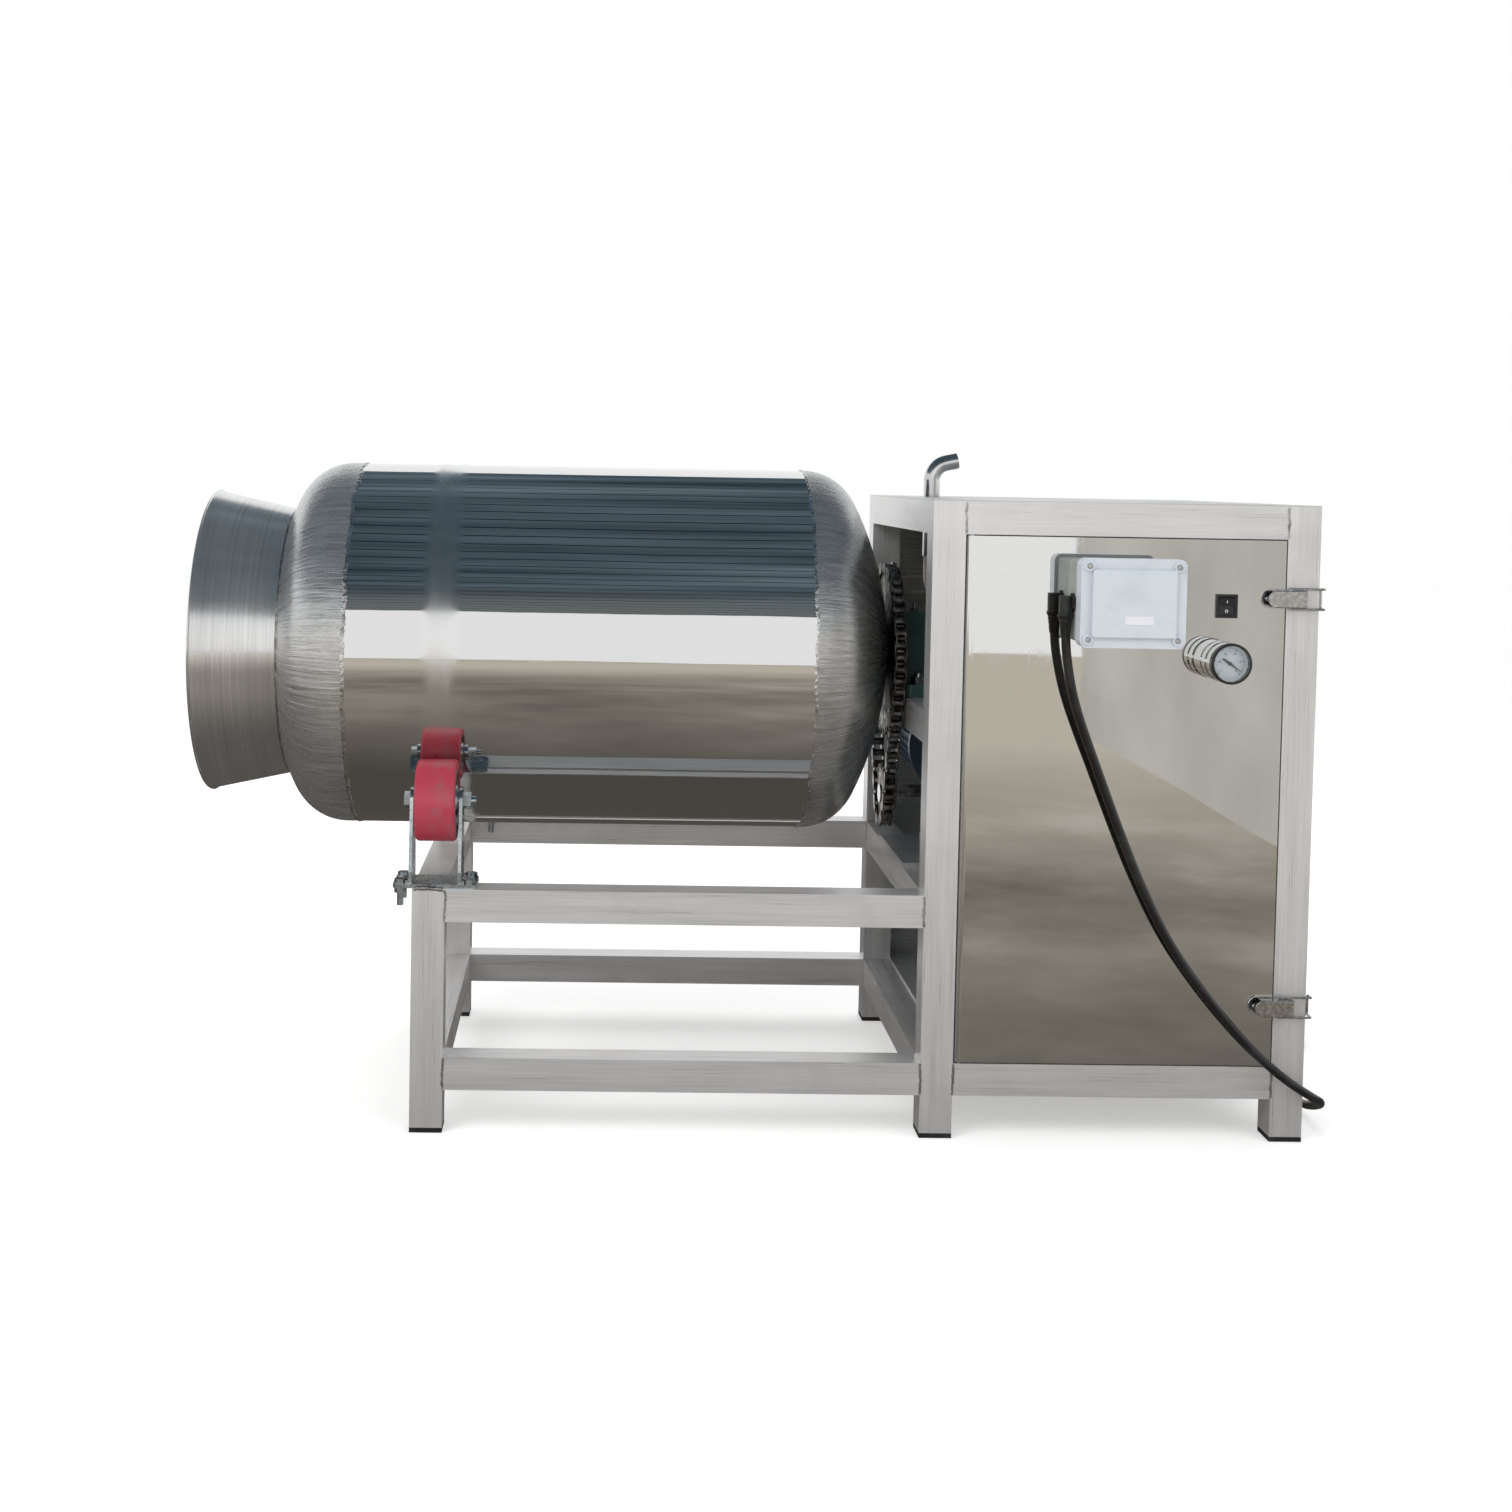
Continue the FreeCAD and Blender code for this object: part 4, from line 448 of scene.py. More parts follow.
def plain_steel(name, tone=0.5, roughness=0.25, grain=160.0):
    f = Finish(name, (tone,) * 3, roughness, Metallic=1.0)
    patch = f.grain(grain, detail=3.0)
    f.set(Base_Color=f.ramp(patch, (0.3, (tone * 0.75,) * 3), (0.7, (tone * 1.2,) * 3)),
          Roughness=f.band(patch, 0.3, 0.7, roughness - 0.08, roughness + 0.1))
    return f.bump((patch, 0.00012))


def oiled_steel(name):
    """Chain and sprockets: dark steel with grease in the hollows and bright running edges."""
    f = Finish(name, (0.16, 0.15, 0.14), 0.34, Metallic=1.0)
    grime = f.grain(85, detail=4.0, roughness=0.7)
    f.set(Base_Color=f.ramp(grime, (0.36, (0.03, 0.027, 0.023)), (0.5, (0.15, 0.145, 0.14)), (0.7, (0.34, 0.33, 0.32))),
          Roughness=f.band(grime, 0.35, 0.65, 0.5, 0.24), Metallic=f.band(grime, 0.33, 0.45, 0.4, 1.0))
    return f.bump((grime, 0.0003))


# ---------------- other finishes

def poured_tread(name, colour, wheel):
    """Polyurethane: glossy and a little translucent, with a scuffed grey track and fine pits."""
    f = Finish(name, colour, 0.3, Subsurface_Weight=0.12, Subsurface_Radius=(0.006, 0.0015, 0.0015),
               Subsurface_Scale=1.0, Coat_Weight=0.15, Coat_Roughness=0.25)
    centre = middle(wheel)
    around = f.polar(centre, 1.6, 46.0, 4.0)
    scuff = f.noise(around, detail=4.0, roughness=0.65)
    pits = f.grain(330, detail=2.0)
    x = f.node("SeparateXYZ", {0: f.node("TexCoord").outputs["Object"]}).outputs[0]
    inner = f.band(f.maths("ABSOLUTE", f.maths("SUBTRACT", x, centre.x + 0.008)), 0.018, 0.002)
    worn = f.maths("MULTIPLY", f.band(scuff, 0.44, 0.7), inner, clamp=True)
    f.set(Base_Color=f.mix(worn, colour, (0.25, 0.13, 0.14)),
          Roughness=f.band(scuff, 0.3, 0.7, 0.22, 0.5))
    return f.bump((scuff, 0.0004), (pits, 0.00015))


def moulded(name, colour, roughness=0.38, grain=0.00006, scale=900.0, dirt=0.25):
    """Moulded plastic: fine leather-like grain and a little grime in patches."""
    f = Finish(name, colour, roughness)
    skin = f.grain(scale, detail=2.0)
    grime = f.grain(26, detail=4.0)
    dirty = tuple(c * 0.8 for c in colour)
    f.set(Base_Color=f.mix(f.band(grime, 0.52, 0.78, 0.0, dirt * 2), colour, dirty),
          Roughness=f.band(grime, 0.3, 0.7, roughness - 0.08, roughness + 0.1))
    return f.bump((skin, grain))


def rubber(name, colour=(0.012, 0.012, 0.013), roughness=0.5, dust=0.05):
    f = Finish(name, colour, roughness)
    skin = f.grain(500, detail=3.0)
    dusty = f.grain(30, detail=4.0)
    f.set(Base_Color=f.mix(f.band(dusty, 0.5, 0.8), colour, tuple(c + dust for c in colour)),
          Roughness=f.band(dusty, 0.3, 0.7, roughness - 0.1, roughness + 0.15))
    return f.bump((skin, 0.0001))


def painted(name, colour, roughness=0.35, cast=0.0006):
    """Paint over a casting: orange peel and dust."""
    f = Finish(name, colour, roughness, Coat_Weight=0.2, Coat_Roughness=0.2)
    lumps = f.grain(190, detail=3.0)
    dust = f.grain(22, detail=4.0)
    f.set(Base_Color=f.mix(f.band(dust, 0.5, 0.8, 0.0, 0.5), colour, tuple(0.75 * c + 0.06 for c in colour)),
          Roughness=f.band(dust, 0.3, 0.7, roughness - 0.08, roughness + 0.2))
    return f.bump((lumps, cast))


def clear(name, colour=(0.93, 0.97, 0.97), roughness=0.03):
    f = Finish(name, colour, roughness, Transmission_Weight=1.0, IOR=1.49)
    marks = f.grain(30, detail=4.0)
    return f.set(Roughness=f.band(marks, 0.55, 0.8, roughness, roughness + 0.12))


def flat_print(name, colour, roughness=0.45):
    """Print or enamel on a dial or a switch."""
    f = Finish(name, colour, roughness)
    tone = f.grain(220, detail=2.0)
    return f.set(Base_Color=f.mix(f.band(tone, 0.3, 0.7, 0.0, 0.2), colour, tuple(c * 0.85 for c in colour)))


# ---------------- stage

def studio_card(name, corners, colour_of):
    """A card beside the camera's view that only reflections see, so polished steel has a room to show."""
    data = bpy.data.meshes.new(name)
    data.from_pydata(corners, [], [tuple(range(len(corners)))])
    made = placed(name, data)
    material = bpy.data.materials.new(name)
    material.use_nodes = True
    tree = material.node_tree
    tree.nodes.clear()
    f = NodeTree(tree)
    glow = f.node("Emission", {"Color": colour_of(f), "Strength": 1.0})
    out = f.node("OutputMaterial", {"Surface": glow.outputs[0]})
    out.is_active_output = True
    data.materials.append(material)
    made.visible_camera = made.visible_diffuse = made.visible_transmission = False
    made.visible_shadow = made.visible_volume_scatter = False
    return made


def area_lamp(name, at, aim, size, power, colour=(1, 1, 1)):
    data = bpy.data.lights.new(name, "AREA")
    data.shape, data.size, data.energy, data.color = "DISK", size, power, colour
    made = placed(name, data)
    made.location = at
    made.rotation_euler = (Vector(aim) - Vector(at)).to_track_quat("-Z", "Y").to_euler()
    made.visible_glossy = False
    return made


class TUMBLER_OT_stage(bpy.types.Operator):
    """Camera, pale floor, lamps and the cards that the polished steel reflects"""

    bl_idname = "tumbler.stage"
    bl_label = "Stage and camera"

    def execute(self, context):
        self.camera(context.scene)
        self.world(context.scene)
        self.floor()
        self.cards()
        area_lamp("key_lamp", (-2.4, -2.6, 3.0), (0, 0, 0.4), 2.2, 62)
        area_lamp("fill_lamp", (2.6, -2.2, 1.8), (0.2, 0, 0.4), 2.4, 26)
        area_lamp("rear_lamp", (0.6, 2.6, 2.6), (0, 0, 0.4), 2.2, 30)
        context.scene.view_settings.view_transform = "Standard"
        return {"FINISHED"}

    def camera(self, scene):
        data = bpy.data.cameras.new("camera")
        data.sensor_width = 36.0
        data.lens = CAMERA["focal"] * 36.0 / 1512.0
        data.shift_x, data.shift_y = CAMERA["shift"]
        data.clip_end = 60.0
        made = placed("camera", data)
        turn = (Matrix.Rotation(-CAMERA["yaw"], 4, "Z") @ Matrix.Rotation(math.pi / 2 - CAMERA["pitch"], 4, "X")
                @ Matrix.Rotation(CAMERA["roll"], 4, "Z"))
        made.matrix_world = Matrix.Translation(CAMERA["place"]) @ turn
        scene.camera = made

    def world(self, scene):
        world = bpy.data.worlds.new("studio")
        world.use_nodes = True
        tree = world.node_tree
        tree.nodes.clear()
        f = NodeTree(tree)
        ray = f.node("LightPath").outputs
        seen = f.maths("MAXIMUM", ray["Is Camera Ray"], f.maths("MAXIMUM", ray["Is Glossy Ray"],
                                                                ray["Is Transmission Ray"]))
        strength = f.band(seen, 0.0, 1.0, 0.62, 1.0)
        back = f.node("Background", {"Color": (1, 1, 1, 1), "Strength": strength})
        f.node("OutputWorld", {"Surface": back.outputs[0]})
        scene.world = world

    def floor(self):
        data = bpy.data.meshes.new("floor")
        reach = 14.0
        data.from_pydata([(-reach, -reach, 0), (reach, -reach, 0), (reach, reach, 0), (-reach, reach, 0)], [],
                         [(0, 1, 2, 3)])
        made = placed("floor", data)
        f = Finish("pale_floor", (0.86, 0.86, 0.86), 0.9)
        ray = f.node("LightPath").outputs
        seen = f.maths("MAXIMUM", ray["Is Camera Ray"], ray["Is Glossy Ray"])
        f.set(Emission_Color=(1, 1, 1, 1), Emission_Strength=f.band(seen, 0.0, 1.0, 0.0, 0.42))
        data.materials.append(f.material)
        made.location.z = -0.0004

    def cards(self):
        def ceiling(f):
            part = f.node("SeparateXYZ", {0: f.place()}).outputs
            beams = f.node("TexWave", {"Vector": f.place((0.0, 1.0, 0.0)), "Scale": 1.15, "Distortion": 0.0},
                           wave_type="BANDS", bands_direction="Y").outputs["Fac"]
            thin = f.band(beams, 0.965, 0.99)
            haze = f.noise(f.place((0.5, 1.4, 1.0)), detail=3.0)
            base = f.ramp(haze, (0.35, (0.038, 0.058, 0.076)), (0.6, (0.11, 0.15, 0.185)), (0.8, (0.22, 0.27, 0.30)))
            lit = f.mix(f.band(part[1], -2.6, -4.6), base, (0.17, 0.19, 0.19))
            return f.mix(thin, lit, (0.004, 0.006, 0.008))

        def ground(f):
            part = f.node("SeparateXYZ", {0: f.place()}).outputs
            spots = f.noise(f.place((1.1, 1.1, 1)), detail=5.0, roughness=0.6)
            stone = f.ramp(spots, (0.35, (0.18, 0.165, 0.14)), (0.55, (0.33, 0.30, 0.255)), (0.75, (0.56, 0.53, 0.47)))
            # Painted light and shade on the reflected ground: lit beige far out in front, and painted shade in dark
            # brown near the machine, where the machine's shade falls.
            far = f.mix(f.band(part[1], -1.7, -3.6), stone, (0.60, 0.55, 0.47))
            return f.mix(f.band(part[1], -1.1, -0.2), far, (0.085, 0.076, 0.066))

        def side_wall(f):
            stain = f.noise(f.place((1, 1.6, 2.4)), detail=4.0)
            return f.ramp(stain, (0.3, (0.50, 0.48, 0.44)), (0.7, (0.62, 0.60, 0.56)))

        studio_card("ceiling_card", [(-6, -5.2, 2.9), (6, -5.2, 2.9), (6, 3.0, 2.9), (-6, 3.0, 2.9)], ceiling)
        studio_card("ground_card", [(-6, -6.5, 0.001), (6, -6.5, 0.001), (6, 2.0, 0.001), (-6, 2.0, 0.001)], ground)
        studio_card("side_card", [(1.36, -3.9, 0.0), (1.36, -0.9, 0.0), (1.36, -0.9, 1.05), (1.36, -3.9, 1.05)],
                    side_wall)


# ---------------- power cable

CABLE_ROUTE = [
    (374.0, -262.0, 649.5), (374.5, -262.0, 618.0), (378.5, -260.0, 587.5), (387.0, -257.0, 548.6),
    (401.5, -254.0, 507.6), (419.5, -251.5, 462.6), (444.5, -250.0, 398.7), (475.0, -249.0, 325.7),
    (511.5, -248.5, 253.8), (548.0, -248.5, 201.9), (588.0, -249.5, 152.9), (629.0, -252.0, 109.9),
    (663.0, -255.0, 82.0), (698.0, -249.0, 60.0), (722.0, -217.0, 43.0), (730.5, -176.0, 26.0),
    (732.5, -133.0, 12.5), (731.0, -79.0, 5.6), (727.5, -4.0, 5.6), (725.5, 81.0, 5.6), (722.5, 141.0, 5.6),
]
COIL_TURNS = ((54.6, 5.6), (65.4, 5.7), (65.2, 16.4), (54.8, 16.3))  # each turn's radius and height, mm
TURN_POINTS = 14


def cable_points():
    """The cable's control points: its run over the door and the floor, then its coil of four turns."""
    points = [Vector(p) * MM for p in CABLE_ROUTE]
    centre = middle("cable_coil")
    steps = len(COIL_TURNS) * TURN_POINTS
    for k in range(1, steps + 1):
        turn = k / TURN_POINTS
        here = min(int(turn), len(COIL_TURNS) - 1)
        after = min(here + 1, len(COIL_TURNS) - 1)
        part = turn - here
        ease = max(0.0, min(1.0, (part - 0.55) / 0.45)) if here < after else 0.0
        radius = COIL_TURNS[here][0] * (1 - ease) + COIL_TURNS[after][0] * ease
        height = COIL_TURNS[here][1] * (1 - ease) + COIL_TURNS[after][1] * ease
        angle = math.pi - math.tau * turn
        points.append(Vector((centre.x + radius * MM * math.cos(angle), centre.y + radius * MM * math.sin(angle),
                              height * MM)))
    return points


def nurbs_cord(name, points, radius, finish, body):
    data = bpy.data.curves.new(name, "CURVE")
    data.dimensions, data.bevel_depth, data.bevel_resolution = "3D", radius, 5
    data.resolution_u, data.use_fill_caps = 10, True
    spline = data.splines.new("NURBS")
    spline.points.add(len(points) - 1)
    for place, point in zip(spline.points, points):
        place.co = (*point, 1)
    spline.order_u = 3
    spline.use_endpoint_u = True
    data.materials.append(finish.material)
    made = placed(name, data)
    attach(made, body)
    return made


def spline_length(curve):
    """Length of a cord's own line, measured on it without its thickness."""
    depth = curve.data.bevel_depth
    curve.data.bevel_depth = 0.0
    bpy.context.view_layer.update()
    line = bpy.data.meshes.new_from_object(curve.evaluated_get(bpy.context.evaluated_depsgraph_get()))
    total = sum((line.vertices[e.vertices[0]].co - line.vertices[e.vertices[1]].co).length for e in line.edges)
    bpy.data.meshes.remove(line)
    curve.data.bevel_depth = depth
    return total


class TUMBLER_OT_cable(bpy.types.Operator):
    """Power cable from the control box, its coil and its plug"""

    bl_idname = "tumbler.cable"
    bl_label = "Power cable"

    def execute(self, context):
        diameter = context.scene.tumbler_sizes.cable_diameter
        jacket = rubber("cable_jacket", (0.010, 0.010, 0.011), 0.24, dust=0.02)
        points = cable_points()
        cable = nurbs_cord("power_lead", points, diameter / 2, jacket, "door")
        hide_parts("power_cable", "cable_coil")
        boot = Shape()
        start, ahead = points[0], (points[1] - points[0]).normalized()
        boot.turned(start + ahead * 0.3 * MM, ahead, [
            (9.4 * MM, 0), (9.6 * MM, 1.5 * MM), (9.0 * MM, 4 * MM), (7.6 * MM, 6 * MM), (7.8 * MM, 9 * MM),
            (7.0 * MM, 11 * MM), (7.2 * MM, 14 * MM), (6.5 * MM, 16 * MM), (6.6 * MM, 20 * MM), (5.9 * MM, 24 * MM),
            (5.7 * MM, 27 * MM)], sides=28)
        relief = boot.made("cable_boot", "door", jacket, "black_rubber")
        dress(rubber("plug_rubber", (0.014, 0.014, 0.015), 0.42), "plug")
        spline_length(cable)
        return {"FINISHED"}


# ---------------- frame

class TUMBLER_OT_frame(bpy.types.Operator):
    """Square-tube frame, its sheets, feet, welds and the exhaust pipe"""

    bl_idname = "tumbler.frame"
    bl_label = "Frame and sheets"

    def execute(self, context):
        upright = brushed_tube("tube_upright", "z")
        level = brushed_tube("tube_level", "x")
        crosswise = brushed_tube("tube_crosswise", "y")
        dress(upright, "left_legs", "middle_legs", "right_legs")
        dress(level, "lower_rails", "upper_rails", "cabinet_rails")
        dress(crosswise, "cross_rails", "bearing_beam")
        dress(satin_sheet("satin_sheet"), "top_sheet", "side_panel", "rear_panel", "cabinet_shelves")
        dress(rubber("foot_rubber", roughness=0.6), "rubber_feet")
        dress(plain_steel("bent_pipe", 0.62, 0.14, 40.0), "exhaust_pipe")
        self.joints(context.scene.tumbler_sizes.joint_width)
        return {"FINISHED"}

    def joints(self, width):
        """Dressed welds on the faces where rails meet legs."""
        chance = random.Random(4)
        weld = bright_weld("dressed_weld", 0.62, 0.34)
        shape = Shape()
        left, mid, right = (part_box(n) for n in ("left_legs", "middle_legs", "right_legs"))
        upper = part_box("upper_rails")
        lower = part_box("lower_rails")
        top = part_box("cabinet_rails")
        tube = left[1].x - left[0].x
        for y, out in ((left[0].y, -Y), (left[1].y, Y)):
            for x, low, high in (
                (left[1].x, upper[1].z - tube, upper[1].z), (mid[0].x, upper[1].z - tube, upper[1].z),
                (left[1].x, lower[0].z, lower[1].z), (mid[0].x, lower[0].z, lower[1].z),
                (mid[1].x, lower[0].z, lower[1].z), (right[0].x, lower[0].z, lower[1].z),
                (mid[1].x, top[1].z - tube, top[1].z), (right[0].x, top[1].z - tube, top[1].z),
            ):
                weld_line(shape, [Vector((x, y, low + MM)), Vector((x, y, high - MM))], [out, out], width,
                          0.22 * MM, chance)
        inner_y = (left[0].y + tube, left[1].y - tube)
        for x, sign in ((left[0].x, -1), (left[1].x, 1), (mid[0].x, -1)):
            for y in inner_y:
                for low in (lower[0].z, upper[1].z - tube):
                    weld_line(shape, [Vector((x, y, low + MM)), Vector((x, y, low + tube - MM))], [X * sign, X * sign],
                              width, 0.22 * MM, chance)
        shape.made("joint_welds", "frame", weld, "frame_steel")


# ---------------- drum

class TUMBLER_OT_drum(bpy.types.Operator):
    """Drum shell, heads, mouth, welds, baffles and shaft"""

    bl_idname = "tumbler.drum"
    bl_label = "Drum"

    def execute(self, context):
        sizes = context.scene.tumbler_sizes
        dress(polished_shell(), "drum_shell")
        dress(hand_finished("front_head_finish"), "front_head")
        dress(hand_finished("rear_head_finish", 0.5), "rear_head")
        dress(spun_cone("mouth_finish"), "mouth_cone")
        dress(plain_steel("inner_steel", 0.45, 0.3, 60.0), "drum_baffles")
        dress(plain_steel("turned_steel", 0.5, 0.16, 120.0), "drum_shaft")
        weld = bright_weld("head_weld", 0.86, 0.22)
        chance = random.Random(11)
        for name, x, wide in (("front_seam_weld", shell_low.x, 1.0), ("rear_seam_weld", shell_high.x, 0.85)):
            self.ring(name, x, drum_radius, sizes.seam_width * wide, sizes.seam_height, weld, chance)
        cone_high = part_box("mouth_cone")[1]
        self.ring("throat_weld", cone_high.x - 0.6 * MM, THROAT_RADIUS + 0.8 * MM, 3.4 * MM, 0.9 * MM,
                  bright_weld("throat_weld_metal", 0.5, 0.3), chance, tilt=0.6)
        return {"FINISHED"}

    def ring(self, name, x, radius, width, height, finish, chance, tilt=0.0):
        """A weld right round the drum; tilt leans it outwards between two walls."""
        count = 96
        points, normals = [], []
        for k in range(count + 1):
            a = math.tau * k / count
            out = Vector((0, math.cos(a), math.sin(a)))
            points.append(Vector((x, drum_axis.y, drum_axis.z)) + out * radius)
            normals.append((out - X * tilt).normalized())
        points[-1] = points[0].copy()
        shape = weld_line(Shape(), points, normals, width, height, chance, step=2.6 * MM)
        return shape.made(name, "drum", finish, "satin_steel")


# ---------------- casters

class TUMBLER_OT_casters(bpy.types.Operator):
    """Casters: treads, cores, plated brackets, welds and bearing shields"""

    bl_idname = "tumbler.casters"
    bl_label = "Casters"

    def execute(self, context):
        colour = tuple(context.scene.tumbler_colours.tread)
        zinc = zinc_plate("zinc_plate")
        dress(zinc, "caster_brackets", "caster_axles", "frame_bolts")
        core = plain_steel("cast_core", 0.5, 0.4, 90.0)
        chance = random.Random(7)
        weld = bright_weld("bracket_weld", 0.6, 0.35)
        for end in ("front", "rear"):
            dress(poured_tread(end + "_tread", colour, end + "_tyre"), end + "_tyre")
            dress(core, end + "_wheel_core")
            centre = middle(end + "_tyre")
            low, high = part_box(end + "_tyre")
            shields = Shape()
            for side, x in ((-1, low.x), (1, high.x)):
                shields.turned((x + side * 1.2 * MM, centre.y, centre.z), X * side, [
                    (14.9 * MM, -3 * MM), (16.5 * MM, -1.2 * MM), (19 * MM, -0.9 * MM), (20 * MM, -2.2 * MM),
                    (20 * MM, -4 * MM), (15.2 * MM, -4 * MM)], sides=40)
            shields.made(end + "_wheel_shields", end + "_wheel", zinc, "zinc")
        self.plate_welds(weld, chance)
        return {"FINISHED"}

    def plate_welds(self, weld, chance):
        """Stitches between the bracket plates and the tube below them."""
        shape = Shape()
        leg_low, leg_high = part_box("left_legs")
        z = leg_high.z
        for y, out in ((leg_low.y, -Y), (leg_high.y, Y)):
            x0, x1 = leg_low.x + 2 * MM, leg_high.x - 2 * MM
            points = [Vector((x0 + (x1 - x0) * k / 4, y + out.y * 0.2 * MM, z - 0.6 * MM)) for k in range(5)]
            weld_line(shape, points, [(out + Z * -0.4).normalized()] * 5, 4.6 * MM, 1.6 * MM, chance)
        shape.made("plate_welds", "frame", weld, "zinc")


# ---------------- drive

class TUMBLER_OT_drive(bpy.types.Operator):
    """Chain drive, bearing, gear motor, vacuum pump and vacuum line"""

    bl_idname = "tumbler.drive"
    bl_label = "Drive and vacuum line"

    def execute(self, context):
        colours = context.scene.tumbler_colours
        oily = oiled_steel("oiled_steel")
        dress(oily, "drive_chain", "driven_sprocket", "drive_sprocket")
        dress(plain_steel("shaft_end_steel", 0.5, 0.18, 100.0), "output_shaft")
        dress(painted("block_paint", tuple(colours.block), 0.4), "pillow_block")
        blue = painted("motor_paint", tuple(colours.motor), 0.34, 0.0004)
        dress(blue, "motor", "vacuum_pump")
        dress(painted("cast_alloy", (0.36, 0.37, 0.38), 0.42, 0.0005), "gearbox")
        brass = Finish("turned_brass", (0.60, 0.42, 0.16), 0.25, Metallic=1.0)
        lathe = brass.noise(brass.place((900.0, 60.0, 60.0)), detail=2.0)
        brass.set(Roughness=brass.band(lathe, 0.3, 0.7, 0.18, 0.34)).bump((lathe, 0.00006))
        dress(brass, "rotary_union")
        dress(moulded("hose_wall", (0.60, 0.58, 0.50), 0.3, 0.0002, 300.0), "vacuum_hoses")
        self.motor_fins(blue)
        return {"FINISHED"}

    def motor_fins(self, paint):
        """Cooling fins along the motor's can."""
        low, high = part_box("motor")
        gear_low, gear_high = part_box("gearbox")
        centre_x = (gear_low.x + gear_high.x) / 2
        radius = 62 * MM
        centre_z = low.z + 70 * MM
        start, end = gear_high.y + 14 * MM, high.y - 46 * MM
        shape = Shape()
        for k in range(36):
            a = math.tau * k / 36
            if math.sin(a) > 0.72:
                continue
            out = Vector((math.cos(a), 0, math.sin(a)))
            across = Vector((-math.sin(a), 0, math.cos(a)))
            root = Vector((centre_x, 0, centre_z)) + out * (radius - 1.2 * MM)
            rings = []
            for y in (start, end):
                rings.append([root + Y * y + across * (u * MM) + out * (v * MM)
                              for u, v in ((-1.1, 0), (1.1, 0), (0.7, 6.6), (-0.7, 6.6))])
            shape.rings(rings)
        shape.made("motor_fins", "frame", paint, "blue_motor", smooth=False)


# ---------------- door, box, switch, gauge, latches

class TUMBLER_OT_door(bpy.types.Operator):
    """Polished door, its pivots, and the latches with their catches"""

    bl_idname = "tumbler.door"
    bl_label = "Door and latches"

    def execute(self, context):
        dress(polished_sheet("polished_door"), "door_panel")
        dress(zinc_plate("pivot_zinc"), "door_pivots")
        latch = plain_steel("latch_steel", 0.62, 0.2, 210.0)
        dress(latch, "latch_bases", "latch_catches", "upper_latch_lever", "lower_latch_lever",
              "upper_latch_loop", "lower_latch_loop")
        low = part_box("latch_bases")[0]
        rivets = Shape()
        x = low.x + 8 * MM
        for name in ("upper_latch_lever", "lower_latch_lever"):
            z = middle(name).z
            rivets.turned((x, face_y - 1.4 * MM, z), -Y, [
                (3.6 * MM, -0.6 * MM), (3.6 * MM, 0.2 * MM), (3.0 * MM, 1.0 * MM), (1.4 * MM, 1.5 * MM)], sides=24)
        rivets.made("latch_rivets", "door", latch, "satin_steel")
        return {"FINISHED"}


class TUMBLER_OT_box(bpy.types.Operator):
    """Control box: lid, screws, blank label and gland"""

    bl_idname = "tumbler.box"
    bl_label = "Control box"

    def execute(self, context):
        colours, sizes = context.scene.tumbler_colours, context.scene.tumbler_sizes
        lid = moulded("lid_plastic", tuple(colours.box_lid), 0.32, 0.00005)
        base = moulded("base_plastic", tuple(colours.box_base), 0.45, 0.00008, dirt=0.4)
        dress(lid, "control_box_lid")
        dress(base, "control_box_base")
        dress(rubber("gland_plastic", (0.016, 0.016, 0.017), 0.35), "box_fittings")
        low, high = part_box("control_box_lid")
        front, step = low.y, 5 * MM
        screws, chrome = Shape(), plain_steel("screw_steel", 0.6, 0.2, 300.0)
        inset = 9.5 * MM
        for x in (low.x + inset, high.x - inset):
            for z in (low.z + inset, high.z - inset):
                self.well(x, front + step, z, lid)
                screws.turned((x, front + step - 1.6 * MM, z), -Y, [
                    (2.9 * MM, -0.6 * MM), (2.9 * MM, 0.5 * MM), (2.3 * MM, 1.1 * MM), (0.8 * MM, 1.25 * MM)], sides=24)
        screws.made("lid_screws", "door", chrome, "zinc")
        width, tall = sizes.label_width, 10 * MM
        x, z = low.x + (high.x - low.x) * 0.545, low.z + (high.z - low.z) * 0.315
        label = Shape()
        corner = 1.4 * MM
        outline = []
        for cx, cz, turn in ((1, 1, 0), (-1, 1, 1), (-1, -1, 2), (1, -1, 3)):
            for k in range(5):
                a = math.pi / 2 * (turn + k / 4)
                outline.append((cx * (width / 2 - corner) + corner * math.cos(a),
                                cz * (tall / 2 - corner) + corner * math.sin(a)))
        label.rings([[Vector((x + u, front + y, z + v)) for u, v in outline] for y in (0.2 * MM, -0.45 * MM)])
        label.made("blank_label", "door", flat_print("label_card", (0.80, 0.80, 0.84), 0.25), "box_lid")
        self.side_catch(high, chrome)
        return {"FINISHED"}

    def well(self, x, y, z, finish):
        """A raised collar round a lid screw."""
        collar = Shape().turned((x, y, z), -Y, [
            (6.6 * MM, -0.5 * MM), (6.5 * MM, 1.6 * MM), (5.9 * MM, 2.6 * MM), (4.3 * MM, 2.6 * MM),
            (3.9 * MM, 1.4 * MM), (0.6 * MM, 1.3 * MM)], sides=32)
        collar.made("screw_well", "door", finish, "box_lid")

    def side_catch(self, high, chrome):
        """A screw with its washer on the box's right side, over the black knockout."""
        at = Vector((high.x - 4 * MM, face_y - 30 * MM, high.z - 36 * MM))
        shape = Shape().turned(at, X, [
            (5.6 * MM, -0.3 * MM), (5.6 * MM, 1.0 * MM), (4.2 * MM, 1.2 * MM), (4.2 * MM, 4.4 * MM),
            (3.2 * MM, 5.4 * MM), (1.0 * MM, 5.8 * MM)], sides=28)
        shape.made("side_screw", "door", chrome, "zinc")


